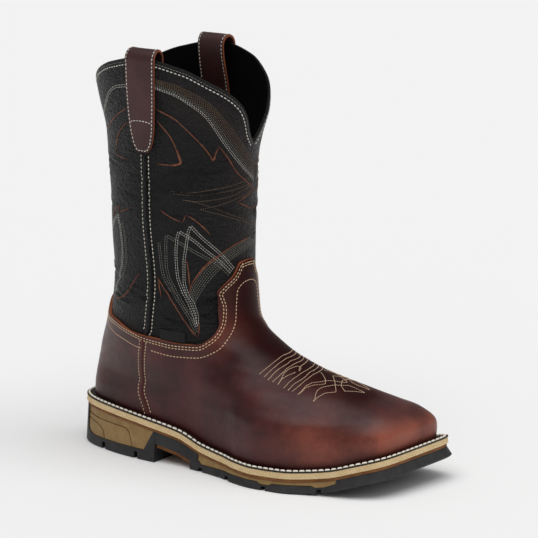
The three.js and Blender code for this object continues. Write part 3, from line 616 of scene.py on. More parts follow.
# Shaft: outer face, folded collar edge and lining
# Creases of the shaft's outer side: share and height of both ends, depth, width
CREASES = [
    (-0.62, 236, -0.3, 231, 0.6, 2.0),
    (-0.5, 228, -0.14, 224, 0.7, 1.8),
    (-0.74, 222, -0.42, 219, 0.5, 2.0),
    (-0.4, 241, -0.1, 246, 0.5, 1.8),
    (-0.3, 214, 0.02, 208, 0.6, 2.2),
    (-0.84, 244, -0.56, 240, 0.5, 2.2),
    (-0.58, 210, -0.3, 206, 0.45, 1.8),
    (-0.9, 206, -0.6, 200, 0.45, 2.4),
    (-0.12, 191, 0.12, 187, 0.45, 2.4),
    (-0.47, 143, -0.18, 137, 0.7, 2.0),
    (-0.4, 133, -0.16, 139, 0.6, 1.8),
    (-0.66, 141, -0.44, 136, 0.6, 2.0),
    (-0.92, 151, -0.58, 147, 0.6, 2.4),
    (-0.82, 136, -0.56, 131, 0.55, 2.0),
    (-0.32, 125, -0.2, 129, 0.5, 1.6),
    (-0.45, 122, -0.33, 118, 0.5, 1.8),
]


def relief(turn, z):
    """Soft folds of the shaft, in millimetres: ankle creases and slack in the leather."""
    at = half_turn(turn)
    side = np.where(np.sin(turn) < 0, 1.0, -1.0)
    zones = np.exp(-((z - 236) / 22) ** 2) + 0.9 * np.exp(-((z - 138) / 22) ** 2)
    broken = 0.5 + 0.5 * np.sin(13 * at + z / 6 + 2 * side)
    waves = 0.3 * np.sin(z / 0.8 + 5 * np.sin(7 * at) + 2 * np.sin(19 * at + z / 9)) * zones * broken
    waves = waves + 0.4 * np.sin(z / 11 + 4 * at + side) * smooth(110, 150, z)
    for first, low, second, high, depth, width in CREASES:
        travel = (first + at) / (first - second)
        line = mix(low, high, np.clip(travel, 0, 1)) + 1.2 * np.sin(8 * travel) - 4 * (side < 0)
        ends = smooth(-0.1, 0.25, travel) * (1 - smooth(0.75, 1.1, travel))
        away = (z - line) / width
        waves = waves + 1.4 * depth * ends * (0.6 * np.exp(-(away - 1.7) ** 2) - np.exp(-away ** 2))
    return waves * smooth(0, 14, collar_height(turn) - z) * smooth(-0.02, 0.16, at)


def flex(turn, level):
    """Very soft bends over the ball of the foot, in millimetres."""
    at = half_turn(turn)
    wave = np.sin((level - 4.0) * 2.6 + 5 * at) * np.exp(-((level - 6.6) / 2.0) ** 2)
    return 0.28 * wave * smooth(0.02, 0.12, at) * (1 - smooth(0.35, 0.5, at))


columns = 384
turns = np.linspace(0, TAU, columns, endpoint=False)
collar_z = collar_height(turns)
collar_level = level_of(turns, collar_z)
shaft_rows = 200
low_level = 7.0
share_up = np.linspace(0, 1, shaft_rows)[:, None]
shaft_levels = mix(low_level, collar_level[None, :], share_up)
base = last(turns[None, :], shaft_levels)
outer = skin(turns[None, :], shaft_levels, relief(turns[None, :], base[..., 2]))
fold = []
for angle in np.linspace(0, math.pi, 7)[1:]:
    offset = (np.cos(angle) - 1) * WALL / 2
    ring = skin(turns, collar_level, np.full(columns, offset))
    ring[:, 2] += 0.6 * WALL * math.sin(angle) * MM
    fold.append(ring)
inner_share = np.linspace(1, 0, shaft_rows // 4)[1:, None]
inner_levels = mix(0.25, collar_level[None, :], inner_share)
inner_turns = np.broadcast_to(turns[None, :], inner_levels.shape)
inner = skin(inner_turns, inner_levels, np.full(inner_levels.shape, -WALL))
shaft_points = np.concatenate([outer, np.array(fold), inner])
faces = grid_faces(len(shaft_points), columns, True)
slots = np.zeros(len(faces), int)
slots[(shaft_rows + 4) * columns:] = 1
under_collar = collar_z[None, :] - base[..., 2]
brown = 0.8 * np.exp(-((under_collar - 24) / 16) ** 2) * (1 - smooth(0.35, 0.5, half_turn(turns)))
brown = np.maximum(brown, 0.6 * np.exp(-(half_turn(turns) / 0.2) ** 2) * smooth(150, 190, base[..., 2]))
shaft_glow = np.zeros(shaft_points.shape[:2])
shaft_glow[:shaft_rows] = brown
shaft = mesh_piece("shaft", shaft_points, faces, [shaft_black, lining_black],
                   "shaft_leather", face_slots=slots, glow=shaft_glow)
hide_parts("upper")


# Overlays: skins over the upper between an edge and the welt
def warm_glow(x, z):
    """How far warmer leather shows: burnished on the toe's side, with a painted highlight towards its front and
    less on its top, and a painted highlight at the bend of the ankle.
    """
    # Toe: burnished leather, with a painted highlight towards its front and less on its top.
    toe = (0.7 * smooth(185, 270, x) + 0.3 * smooth(280, 300, x)) * smooth(-1, 8, z - welt_top(x))
    # Painted highlight: the sheen at the bend of the ankle.
    ankle = 0.45 * np.exp(-((x - 148) / 16) ** 2 - ((z - 118) / 18) ** 2)
    return np.maximum(toe * (1 - 0.85 * smooth(46, 62, z)), ankle)


def shell(name, turn, level, height, material, slot, shade, thickness=LEATHER, wraps=False):
    """Skin whose last row is its upper edge, rolled down to the upper's face."""
    outer_face = skin(turn, level, GAP + thickness + height)
    edge = []
    step = level[-1] - level[-2]
    length = np.linalg.norm(outer_face[-1] - outer_face[-2], axis=-1) / MM
    for angle in np.linspace(0, math.pi / 2, 5)[1:]:
        forward = 0.45 * math.sin(angle) * step / np.maximum(length, 0.2)
        offset = GAP + thickness * (0.35 + 0.65 * math.cos(angle))
        edge.append(skin(turn[-1], level[-1] + forward, np.full(turn[-1].shape, offset)))
    edge.append(skin(turn[-1], level[-1] + forward, np.full(turn[-1].shape, -0.2)))
    points = np.concatenate([outer_face, np.array(edge)])
    # Painted shade carried over the rolled edge, and the warm tint with painted highlights.
    tone = np.concatenate([shade, np.repeat(shade[-1:], len(edge), 0)])
    glow = warm_glow(points[..., 0] / MM + ORIGIN, points[..., 2] / MM)
    across = points.shape[1] if wraps else points.shape[1] - 1
    slots = np.zeros((len(points) - 1, across), int)
    slots[len(outer_face) + 1:] = 1
    return grid_piece(name, points, wraps, [material, strap_edge], slot, shade=tone,
                      glow=glow, face_slots=slots.ravel())


SEAM = [(0.0, 0.652, 34.0), (0.14, 0.661, 44.0), (0.32, 0.673, 57.0), (0.48, 0.664, 68.0),
        (0.72, 0.619, 84.0), (0.86, 0.588, 94.0), (1.0, 0.556, 105.0)]
EDGE = [(0.0, 0.0, 168.0), (0.1, 0.054, 167.0), (0.2, 0.101, 157.0), (0.31, 0.162, 149.0),
        (0.38, 0.19, 143.0), (0.45, 0.175, 132.0), (0.52, 0.187, 121.0), (0.6, 0.225, 113.0),
        (0.7, 0.293, 106.0), (0.79, 0.369, 102.0), (0.86, 0.44, 102.0), (0.93, 0.5, 103.6),
        (1.0, 0.556, 105.0)]
at, seam_turn, seam_z = zip(*SEAM)
seam_share = curve(at, seam_turn)
seam_height = curve(at, seam_z)
at, edge_turn, edge_z = zip(*EDGE)
edge_share = curve(at, edge_turn)
edge_height = curve(at, edge_z)


around = 401
up_rows = 141
u = np.linspace(-1, 1, around)
v = np.linspace(0, 1, up_rows)[:, None]
size = np.abs(u)
seam_line = seam_share(v)
SEAM_LOW, SEAM_TOP = seam_turn[0], seam_turn[-1]
bottom_share = SEAM_LOW * size
pull = smooth(0.5, 1.0, size) * (seam_line - mix(SEAM_LOW, SEAM_TOP, v))
vamp_share = mix(bottom_share, edge_share(size), v) + pull
vamp_turn = np.sign(u) * vamp_share * math.pi
vamp_turn = np.where(size == 0, 0, vamp_turn)
low = level_of(vamp_turn[0], welt_top(last(vamp_turn[0], 0.5)[..., 0]) + 0.5)
high = level_of(vamp_turn[-1], edge_height(size))
vamp_level = mix(low, high, v)
seam_level = level_of(math.pi * seam_line, seam_height(v))
vamp_level = mix(vamp_level, seam_level, smooth(0.8, 1.0, size))
vamp_point = last(vamp_turn, vamp_level)
# Painted shade: darker leather just over the welt, where the upper meets it.
vamp_shade = 0.6 * np.exp(-(vamp_point[..., 2] - welt_top(vamp_point[..., 0])) / 5.0)
# Painted shade: the top of the instep is darkened.
painted_crest_shade = np.exp(-(vamp_share / 0.2) ** 2)
painted_crest_shade = painted_crest_shade * smooth(125, 160, vamp_point[..., 0]) * (1 - smooth(262, 292, vamp_point[..., 0]))
vamp_shade = np.maximum(vamp_shade, 0.85 * painted_crest_shade)
vamp = shell("vamp_leather", vamp_turn, vamp_level, flex(vamp_turn, vamp_level), foot_brown,
             "foot_leather", vamp_shade)
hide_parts("vamp")

COUNTER = [(0.0, 0.556, 105.0), (0.16, 0.635, 108.6), (0.34, 0.731, 112.0), (0.52, 0.801, 113.0),
           (0.63, 0.847, 118.0), (0.81, 0.919, 125.0), (1.0, 1.0, 128.0)]
at, counter_turn, counter_z = zip(*COUNTER)
counter_share = curve(at, counter_turn)
counter_height = curve(at, counter_z)
around = 201
w = np.linspace(-1, 1, around)
size = 1 - np.abs(w)
low_share = mix(SEAM_LOW, 1.0, size)
pull = (1 - smooth(0.0, 0.5, size)) * (seam_line - mix(SEAM_LOW, SEAM_TOP, v))
back_share = mix(low_share, counter_share(size), v) + pull
counter_turns = np.where(w < 0, -back_share, back_share) * math.pi
counter_turns = np.where(w < 0, counter_turns + TAU, counter_turns)[:, ::-1]
size_back = size[::-1]
low = level_of(counter_turns[0], welt_top(last(counter_turns[0], 0.5)[..., 0]) + 0.5)
high = level_of(counter_turns[-1], counter_height(size_back))
counter_level = mix(low, high, v)
counter_level = mix(counter_level, seam_level, 1 - smooth(0.0, 0.3, size_back))
counter_point = last(counter_turns, counter_level)
# Painted shade: darker leather just over the welt, where the counter meets it.
counter_shade = 0.6 * np.exp(-(counter_point[..., 2] - welt_top(counter_point[..., 0])) / 5.0)
counter = shell("counter_leather", counter_turns, counter_level, np.zeros(counter_turns.shape),
                foot_brown, "foot_leather", counter_shade)
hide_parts("heel_counter")


def ridge(name, line, half_width, height, base_height, material, slot, ends=3, columns=9):
    """Rounded strip along a line of turn and level on the upper's face."""
    turn, level = line
    middle = skin(turn, level, np.full(turn.shape, base_height))
    normal = normal_at(turn, level)
    forward = np.gradient(middle, axis=0)
    forward /= np.linalg.norm(forward, axis=-1, keepdims=True)
    across = np.cross(forward, normal)
    points = []
    count = len(turn)
    taper = np.minimum(np.arange(count), np.arange(count)[::-1]) / ends
    taper = np.sqrt(np.clip(taper, 0.02, 1))
    for angle in np.linspace(0, math.pi, columns):
        side = math.cos(angle) * half_width
        rise = math.sin(angle) * height
        points.append(middle + (across * side + normal * rise) * (taper * MM)[:, None])
    return grid_piece(name, np.array(points), False, material, slot)


for side, tag in ((-1, "lateral"), (1, "medial")):
    t = np.linspace(0.005, 1.0, 60)
    turn = side * math.pi * seam_share(t)
    level = level_of(turn, seam_height(t))
    piece = ridge(f"foot_seam_{tag}_cord", (turn, level), 1.6, 1.5, GAP + LEATHER - 0.5,
                  seam_red, "foot_leather")
    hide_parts(f"foot_seam_{tag}")

PIPING = [(0.0, 0.551, 106.0), (0.06, 0.524, 112.0), (0.15, 0.503, 128.0), (0.3, 0.493, 148.0), (0.5, 0.5, 176.0),
          (0.78, 0.511, 218.0), (1.0, 0.508, 255.0)]
at, pipe_turn, pipe_z = zip(*PIPING)
pipe_share = curve(at, pipe_turn)
pipe_height = curve(at, pipe_z)
for side, tag in ((-1, "lateral"), (1, "medial")):
    t = np.linspace(0, 1, 120)
    turn = side * math.pi * pipe_share(t)
    level = level_of(turn, pipe_height(t))
    piece = ridge(f"side_piping_{tag}_cord", (turn, level), 1.9, 1.5, 0.1, shaft_black,
                  "shaft_leather")
    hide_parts(f"side_piping_{tag}")


# Sole layers: a profile of insets and heights carried around the outline
def profile_piece(name, profile, material, slot, count, cap_low=None, cap_high=None, shade=None):
    """profile holds pairs of inset and a height function, from the bottom to the top."""
    turn = np.linspace(0, TAU, count, endpoint=False)
    turn = turn + 0.17 * np.sin(2 * turn)
    loops = []
    for inset, height in profile:
        x, y = outline(turn, inset)
        loops.append(np.stack([x, y, height(x)], -1))
    points = np.array(loops)
    return grid_piece(name, to_frame(points), True, material, slot)


def band_profile(low, high, steps, wave):
    """Side of a layer between two height functions, with a soft swell."""
    profile = []
    for share in np.linspace(0, 1, steps):
        inset = wave(share)
        profile.append((inset, lambda x, s=share: mix(low(x), high(x), s)))
    return profile


sole_count = 720


def cream_side(share):
    lip = 0.35 * smooth(0.16, 0.24, share) - 0.15 * smooth(0.0, 0.08, share)
    lines = 0.05 * np.sin(share * 30) * smooth(0.2, 0.3, share)
    edge = 0.5 * (1 - smooth(0.0, 0.1, share)) + 0.5 * smooth(0.9, 1.0, share)
    return lip + lines + edge


cream = band_profile(lambda x: slip_top(x) + 0.02, lambda x: weltline(x) - 0.02, 28, cream_side)


def weltline(x):
    return welt_top(x) - WELT


closing = [(9.5, lambda x: slip_top(x) + 0.02)] + cream + [(9.5, lambda x: weltline(x) - 0.02)]
midsole = profile_piece("midsole_band", closing, cream_rubber, "midsole_cream", sole_count)
slip_profile = band_profile(lambda x: outsole_top(x) - 0.02, slip_top, 6,
                            lambda s: 0.75 + 0.4 * (1 - math.sin(math.pi * s)))
slip_profile = [(9.5, outsole_top)] + slip_profile + [(9.5, slip_top)]
slip = profile_piece("slip_sole_edge", slip_profile, tan_rubber, "sole_tan", sole_count)
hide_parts("slip_sole")

# Welt: rounded outer edge, a stitch groove and the wall of the upper behind it
welt_profile = [(9.0, weltline), (0.4, weltline)]
for angle in np.linspace(-90, 90, 9):
    side = math.cos(math.radians(angle))
    rise = 0.5 + 0.5 * math.sin(math.radians(angle))
    welt_profile.append((0.45 - 0.45 * side, lambda x, r=rise: weltline(x) + WELT * r))
GROOVE_IN = 1.9
for inset in np.linspace(0.8, 9.6, 25):
    dip = 0.45 * math.exp(-((inset - GROOVE_IN) / 0.8) ** 2)
    rise = 0.35 * smooth(6.0, 9.6, inset)
    welt_profile.append((inset, lambda x, d=dip, r=rise: welt_top(x) - d + r))
welt_profile.append((10.4, lambda x: welt_top(x) - 1.0))
welt = profile_piece("welt_strip", welt_profile, welt_dark, "welt_dark", sole_count)
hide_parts("welt")
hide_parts("midsole")


# Outsole, cut as the solids are but around a finer outline
SOLE_FLARE = 2.2
HEEL_FLARE = 0.8
LAYER_STEP = 0.9


def closed_block(name, inset):
    turn = np.linspace(0, TAU, 300, endpoint=False)
    turn = turn + 0.17 * np.sin(2 * turn)
    loops = []
    flare = mix(HEEL_FLARE, SOLE_FLARE, smooth(-0.95, -0.5, np.cos(turn)))
    levels = [(inset + 1.4 - flare, ground)]
    levels.append((inset + 0.5 - flare, lambda x: ground(x) + 0.5))
    levels.append((inset - flare, lambda x: ground(x) + 1.6))
    for share in np.linspace(0.15, 1, 7):
        levels.append((inset - flare + (flare + LAYER_STEP) * share,
                       lambda x, s=share: mix(ground(x) + 1.4, outsole_top(x), s)))
    for step, height in levels:
        x, y = outline(turn, step)
        loops.append(np.stack([x, y, height(x)], -1))
    points = to_frame(np.array(loops))
    rows, count = points.shape[:2]
    mesh = bpy.data.meshes.new(name)
    flat = [tuple(p) for p in points.reshape(-1, 3)]
    faces = [tuple(f) for f in grid_faces(rows, count, True)]
    half = count // 2
    for start, flip, height in ((0, True, ground), ((rows - 1) * count, False, outsole_top)):
        lines = [(start, start)] + [(start + i, start + count - i) for i in range(1, half)]
        lines.append((start + half, start + half))
        cross = []
        for a, b in lines:
            if a == b:
                cross.append([a] * 5)
                continue
            line = [a]
            for k in (0.25, 0.5, 0.75):
                p = np.array(flat[a]) * (1 - k) + np.array(flat[b]) * k
                p[2] = height(p[0] / MM + ORIGIN) * MM
                line.append(len(flat))
                flat.append(tuple(p))
            cross.append(line + [b])
        for first, second in zip(cross, cross[1:]):
            for k in range(4):
                face = [first[k], second[k], second[k + 1], first[k + 1]]
                face = [v for i, v in enumerate(face) if v not in face[:i]]
                faces.append(tuple(face if flip else face[::-1]))
    mesh.from_pydata(flat, [], faces)
    mesh.update()
    made = bpy.data.objects.new(name, mesh)
    bpy.context.scene.collection.objects.link(made)
    fix_normals(mesh)
    return made


def fix_normals(mesh):
    work = bmesh.new()
    work.from_mesh(mesh)
    bmesh.ops.recalc_face_normals(work, faces=work.faces)
    work.to_mesh(mesh)
    work.free()


def prism(name, corners, low=-100.0, high=100.0):
    """Prism across the boot over corners x, z of its side view."""
    count = len(corners)
    points = [to_frame(np.array([x, y, z])) for y in (low, high) for x, z in corners]
    faces = [tuple(range(count)), tuple(range(2 * count - 1, count - 1, -1))]
    for i in range(count):
        j = (i + 1) % count
        faces.append((i, j, count + j, count + i))
    mesh = bpy.data.meshes.new(name)
    mesh.from_pydata([tuple(p) for p in points], [], faces)
    fix_normals(mesh)
    made = bpy.data.objects.new(name, mesh)
    bpy.context.scene.collection.objects.link(made)
    return made


def cut(target, tool, operation="DIFFERENCE", keep_tool=False):
    modifier = target.modifiers.new("cut", "BOOLEAN")
    modifier.operation = operation
    modifier.solver = "EXACT"
    modifier.object = tool
    shape = bpy.data.meshes.new_from_object(target.evaluated_get(bpy.context.evaluated_depsgraph_get()))
    target.modifiers.remove(modifier)
    target.data = shape
    if not keep_tool:
        bpy.data.objects.remove(tool)
    return target


def rubber_piece(made, name, material, slot, *nodes):
    made.name = name
    made.data.materials.clear()
    made.data.materials.append(material)
    made.data.polygons.foreach_set("use_smooth", np.ones(len(made.data.polygons), bool))
    made.data.set_sharp_from_angle(angle=math.radians(32))
    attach(made, "root")
    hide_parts(*nodes)
    return made


BREAST = 93.0
FORE_START = 136.0
BUMPER = 268.0
HEEL_TREAD = 8.8
FORE_TREAD = 6.2
ARCH_BAND = 9.0
HIGH = 80.0
LOW = -40.0
PANEL = [(0.115, 0.22), (0.14, 0.1), (0.21, 0.0), (0.875, 0.0), (0.975, 0.85)]


def heel_panel(grow):
    corners = []
    for i, (along, up) in enumerate(PANEL):
        outward = -grow if i < 2.5 else grow
        corners.append((along * BREAST + outward, HEEL_TREAD - grow + up * 28.9 * 0.7))
    return [(corners[0][0], HIGH), *corners, (corners[-1][0], HIGH)]


def gap_across(at, depth, width=6.0):
    top = float(ground(at)) + depth
    half = width / 2
    return [(at - half, LOW), (at + half, LOW), (at + half - 1, top), (at - half + 1, top)]


def fore_panel(grow):
    corners = [(FORE_START - grow - 3, HIGH), (FORE_START - grow, FORE_TREAD + 3)]

    def low(x, drop):
        corners.append((x, float(ground(x)) + FORE_TREAD - drop - grow))

    low(FORE_START + 4 - grow, 0)
    for share in (0.681, 0.827):
        at = share * BOOT
        low(at - 7.2, 0)
        low(at - 3.6, 1.55)
        low(at + 3.6, 1.55)
        if at + 12 < BUMPER:
            low(at + 7.2, 0)
    corners.append((BUMPER + grow, float(ground(BUMPER)) + FORE_TREAD))
    corners.append((BUMPER + 6 + grow, HIGH))
    return corners


heel_tread = closed_block("heel_tread_block", 0.0)
cut(heel_tread, prism("region", [(-90, LOW), (BREAST, LOW), (BREAST, HIGH), (-90, HIGH)]),
    "INTERSECT")
cut(heel_tread, prism("panel", heel_panel(0.3)))
for share in (0.376, 0.79):
    cut(heel_tread, prism("gap", gap_across(share * BREAST, 6.0)))
rubber_piece(heel_tread, "heel_rubber", black_rubber, "outsole_black", "heel_tread")

heel_core = closed_block("heel_carrier_block", 0.9)
cut(heel_core, prism("panel", heel_panel(0.0)), "INTERSECT")


def strip(corners, width):
    """Outline of a thin strip along corners x, z."""
    corners = np.array(corners, float)
    forward = np.gradient(corners, axis=0)
    forward /= np.linalg.norm(forward, axis=1, keepdims=True)
    across = np.stack([-forward[:, 1], forward[:, 0]], 1) * width / 2
    return [*map(tuple, corners + across), *map(tuple, (corners - across)[::-1])]


HEEL_GROOVES = [
    [(-6, 26.5), (13, 25.5), (27, 24), (38, 23.7), (55, 23.2), (61, 22.5), (64, 20), (66, 16),
     (69, 8)],
    [(-6, 22.0), (13, 21.0), (24, 19.5), (30, 17), (33, 14.5), (35, 8)],
]
GROOVE_DEPTH = 0.9
for corners in HEEL_GROOVES:
    groove = prism("groove", strip(corners, 1.1))
    cut(groove, closed_block("groove_limit", 0.9 + GROOVE_DEPTH))
    cut(heel_core, groove)
rubber_piece(heel_core, "heel_core", taupe_rubber, "outsole_taupe", "heel_carrier")

fore_core = closed_block("fore_carrier_block", 0.9)
cut(fore_core, prism("panel", fore_panel(0.0)), "INTERSECT")
rubber_piece(fore_core, "fore_core", taupe_rubber, "outsole_taupe", "fore_carrier")


def band_under(x):
    return float(outsole_top(x)) - ARCH_BAND


band_start = BREAST + 0.3
band_end = FORE_START - 2.7
middle = (band_start + band_end) / 2
fore_tread = closed_block("fore_tread_block", 0.0)
cut(fore_tread, prism("region", [(band_start, band_under(band_start)), (middle, band_under(middle)),
                                 (band_end - 5, band_under(band_end - 5)), (band_end, LOW),
                                 (500, LOW), (500, HIGH), (band_start, HIGH)]), "INTERSECT")
cut(fore_tread, prism("panel", fore_panel(0.3)))
for share in (0.452, 0.553, 0.681, 0.827):
    cut(fore_tread, prism("gap", gap_across(share * BOOT, 3.4)))
for side in (-1, 1):
    at = side * 16.0
    cut(fore_tread, prism("channel", [(FORE_START, LOW), (BUMPER, LOW), (BUMPER, 3.4),
                                      (FORE_START, 3.4)], at - 2, at + 2))
rubber_piece(fore_tread, "fore_rubber", black_rubber, "outsole_black", "fore_tread")

plate = closed_block("arch_plate_block", 3.0)
ends = [band_start, middle, band_end - 5]
under = [(x, band_under(x) - 0.3 - 3.6) for x in ends]
over = [(x, band_under(x) - 0.3) for x in reversed(ends)]
cut(plate, prism("region", under + over), "INTERSECT")
rubber_piece(plate, "arch_core", tan_rubber, "sole_tan", "arch_plate")


# Pull straps
STRAP_AT = 88.8
STRAP_WIDTH = 28.3
STRAP_TOP = 340.0
STRAP_LEATHER = 2.2
STRAP_ARCH = 9.0
LOOP_DEPTH = 16.5
STRAP_TIP = 257.0
INNER_LENGTH = 60.0
SEWN = 12.0
strap_half = curve((0, 0.04, 0.11, 0.3, 0.6, 1.0), (0.15, 0.25, 0.34, 0.43, 0.48, 0.5))
ARCH_START = STRAP_TOP - STRAP_ARCH
ARCH_DEPTH = (LOOP_DEPTH - STRAP_LEATHER) / 2
ARCH_RISE = STRAP_ARCH - STRAP_LEATHER / 2
MIDDLE = 2 * GAP + STRAP_LEATHER / 2
INNER_MIDDLE = -WALL - 2 * GAP - STRAP_LEATHER / 2
LOOP_MIDDLE = MIDDLE - 2 * ARCH_DEPTH


def strap_point(c, travel, side, rise):
    """Point of a strap: c across, travel 0 to 3 along, rise over its middle surface."""
    c, travel, rise = np.broadcast_arrays(c, travel, rise)
    leg = np.clip(travel, 0, 1)
    bend = np.clip(travel - 1, 0, 1) * math.pi
    inner = np.clip(travel - 2, 0, 1)
    half = strap_half(leg) * STRAP_WIDTH
    x = STRAP_AT + c * half
    z = np.where(travel <= 1, mix(STRAP_TIP, ARCH_START, leg), ARCH_START - inner * INNER_LENGTH)
    turn, level = side_point(x, z, side)
    away = 1 - smooth(0, 1 - SEWN / INNER_LENGTH, inner)
    offset = np.where(travel <= 2, MIDDLE + rise, mix(INNER_MIDDLE, LOOP_MIDDLE, away) - rise)
    point = skin(turn, level, np.where((travel > 1) & (travel <= 2), MIDDLE, offset))
    normal = normal_at(turn, level)
    reach = (ARCH_DEPTH + rise) * np.cos(bend) - ARCH_DEPTH
    lift = (ARCH_RISE + rise) * np.sin(bend)
    arched = point + normal * (reach * MM)[..., None]
    arched[..., 2] += lift * MM
    return np.where(((travel > 1) & (travel <= 2))[..., None], arched, point)


section_c, section_rise = [], []
flat_count = 13
for c in np.linspace(-1, 1, flat_count):
    section_c.append(c * 0.97)
    section_rise.append(STRAP_LEATHER / 2)
for angle in (45, 0, -45):
    section_c.append(0.97 + 0.03 * math.cos(math.radians(angle)))
    section_rise.append(STRAP_LEATHER / 2 * math.sin(math.radians(angle)))
for c in np.linspace(1, -1, flat_count):
    section_c.append(c * 0.97)
    section_rise.append(-STRAP_LEATHER / 2)
for angle in (-45, 0, 45):
    section_c.append(-0.97 - 0.03 * math.cos(math.radians(angle)))
    section_rise.append(STRAP_LEATHER / 2 * math.sin(math.radians(angle)))
section_c = np.array(section_c)
section_rise = np.array(section_rise)
travel = np.concatenate([np.linspace(0, 1, 40)[:-1], np.linspace(1, 2, 15)[:-1],
                         np.linspace(2, 3, 34)])
for side, tag in ((-1, "lateral"), (1, "medial")):
    points = strap_point(section_c[None, :], travel[:, None], side, section_rise[None, :])
    count = len(section_c)
    faces = [grid_faces(len(travel), count, True)]
    ends = np.array([list(range(count)), list(range((len(travel) - 1) * count,
                                                    len(travel) * count))[::-1]])
    edge_columns = {flat_count, flat_count + 1, count - 3, count - 2}
    slots = [1 if (i % count) in edge_columns else 0 for i in range(len(faces[0]))] + [1, 1]
    piece = mesh_piece(f"pull_strap_{tag}_loop", points, [faces[0], ends],
                       [strap_brown, strap_edge], "strap_leather", face_slots=slots)
    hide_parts(f"pull_strap_{tag}")

# Bare tab over the vamp's edge
tab_x = np.linspace(-11, 11, 25)
tab_z = np.linspace(0, 9, 11)
cx, cz = np.meshgrid(tab_x, tab_z)
turn, level = side_point(111 + cx, 102.6 + cz - cx / 11 * 0.8 + 0.8, -1)
edge = np.minimum(np.minimum(11 - np.abs(cx), cz), 9 - cz)
tab_points = skin(turn, level, 0.3 + 1.0 * smooth(-0.2, 0.7, edge))
tab = grid_piece("side_tab_bare", tab_points, False, plain("tab_black", "101012", "17171a", 0.8),
                 "shaft_leather")
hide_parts("side_tab")

insole = bpy.data.objects["insole"]
insole.data.materials.clear()
insole.data.materials.append(lining_black)


# Threads and thin leather lines over the surfaces. A row is a line of places and normals.
def on_upper(turn, level, rise, folds=0.0, bends=0.0):
    z = last(turn, level)[..., 2]
    offset = rise + folds * relief(turn, z) + bends * flex(turn, level)
    return skin(turn, level, offset), normal_at(turn, level)


def shifted(turn, level, distance):
    """A line of the upper moved sideways on its face by a distance in millimetres."""
    for _ in range(3):
        over = np.minimum(level + 0.02, TOP_LEVEL)
        under = np.maximum(level - 0.02, 0)
        by_turn = (last(turn + 0.01, level) - last(turn - 0.01, level)) / 0.02
        by_level = (last(turn, over) - last(turn, under)) / (over - under)[:, None]
        forward = np.gradient(last(turn, level), axis=0)
        forward /= np.linalg.norm(forward, axis=-1, keepdims=True)
        across = np.cross(forward, normal_at(turn, level)) * (distance / 3)
        e = (by_turn * by_turn).sum(-1)
        f = (by_turn * by_level).sum(-1)
        g = (by_level * by_level).sum(-1)
        a = (across * by_turn).sum(-1)
        b = (across * by_level).sum(-1)
        turn = turn + (a * g - b * f) / (e * g - f * f)
        level = level + (b * e - a * f) / (e * g - f * f)
    return turn, np.clip(level, 0, TOP_LEVEL)


def measure(place):
    step = np.linalg.norm(np.diff(place, axis=0), axis=1)
    return np.concatenate([[0], np.cumsum(step)]) / MM


def read_row(at, far, values):
    return np.stack([np.interp(at, far, values[:, k]) for k in range(3)], -1)


def unit(vector):
    return vector / np.maximum(np.linalg.norm(vector, axis=-1, keepdims=True), 1e-12)


STITCH_RING = np.radians((-30, 30, 90, 150, 210))
STITCH_AT = np.array((-0.5, -0.34, 0.34, 0.5))
STITCH_GROW = np.array((0.45, 1.0, 1.0, 0.45))


def stitches(name, rows, material, slot, pitch, length, width, height=0.35):
    """One mesh of small rounded stitches, evenly spaced along the rows."""
    points = []
    for place, normal in rows:
        far = measure(place)
        if far[-1] < pitch:
            continue
        number = max(1, round(far[-1] / pitch))
        at = (np.arange(number) + 0.5) * far[-1] / number
        middle = read_row(at, far, place)
        reach = min(length, 0.92 * far[-1] / number) / 2
        forward = unit(read_row(at + reach, far, place) - read_row(at - reach, far, place))
        up = read_row(at, far, normal)
        up = unit(up - forward * (up * forward).sum(-1, keepdims=True))
        across = np.cross(forward, up)
        along = (2 * reach * STITCH_AT)[None, :, None, None] * forward[:, None, None, :]
        grow = STITCH_GROW[None, :, None, None]
        beside = (np.cos(STITCH_RING) * width / 2)[None, None, :, None] * across[:, None, None, :]
        above = (np.sin(STITCH_RING) * height)[None, None, :, None] * up[:, None, None, :]
        points.append(middle[:, None, None, :] + (along + (beside + above) * grow) * MM)
    points = np.concatenate(points)
    number = len(points)
    first = np.arange(number)[:, None] * 20
    quads = grid_faces(4, 5, True)[None] + first[..., None]
    ends = np.array([[4, 3, 2, 1, 0], [15, 16, 17, 18, 19]])[None] + first[..., None]
    return mesh_piece(name, points, [quads.reshape(-1, 4), ends.reshape(-1, 5)], [material], slot)


RIBBON_SIDE = np.array((-1.0, -0.75, 0.0, 0.75, 1.0))
RIBBON_RISE = np.array((-0.6, 0.8, 1.0, 0.8, -0.6))


def ribbons(name, rows, material, slot, width, height, taper=5.0):
    """Narrow raised lines, pointed at their ends."""
    points, faces, start = [], [], 0
    for place, normal in rows:
        far = measure(place)
        number = max(4, round(far[-1] / 1.2))
        at = np.linspace(0, far[-1], number)
        middle = read_row(at, far, place)
        forward = unit(np.gradient(middle, axis=0))
        up = unit(read_row(at, far, normal))
        across = np.cross(forward, up)
        ends = np.clip(np.minimum(at, far[-1] - at) / min(taper, far[-1] / 2), 0.12, 1)
        side = (RIBBON_SIDE * width / 2)[:, None, None] * across * ends[:, None]
        rise = (RIBBON_RISE * height)[:, None, None] * up
        points.append((middle + (side + rise) * MM).reshape(-1, 3))
        faces.append(grid_faces(5, number, False, start))
        start += 5 * number
    return mesh_piece(name, np.concatenate(points), np.concatenate(faces), [material], slot)


def trace(knots, count=120):
    """Smooth line through knots of share and height."""
    knots = np.array(knots, float)
    at = np.linspace(0, len(knots) - 1, count)
    return curve(range(len(knots)), knots[:, 0])(at), curve(range(len(knots)), knots[:, 1])(at)


# The figures of the two sides meet a little past the front, at this share
MEETING = 0.07


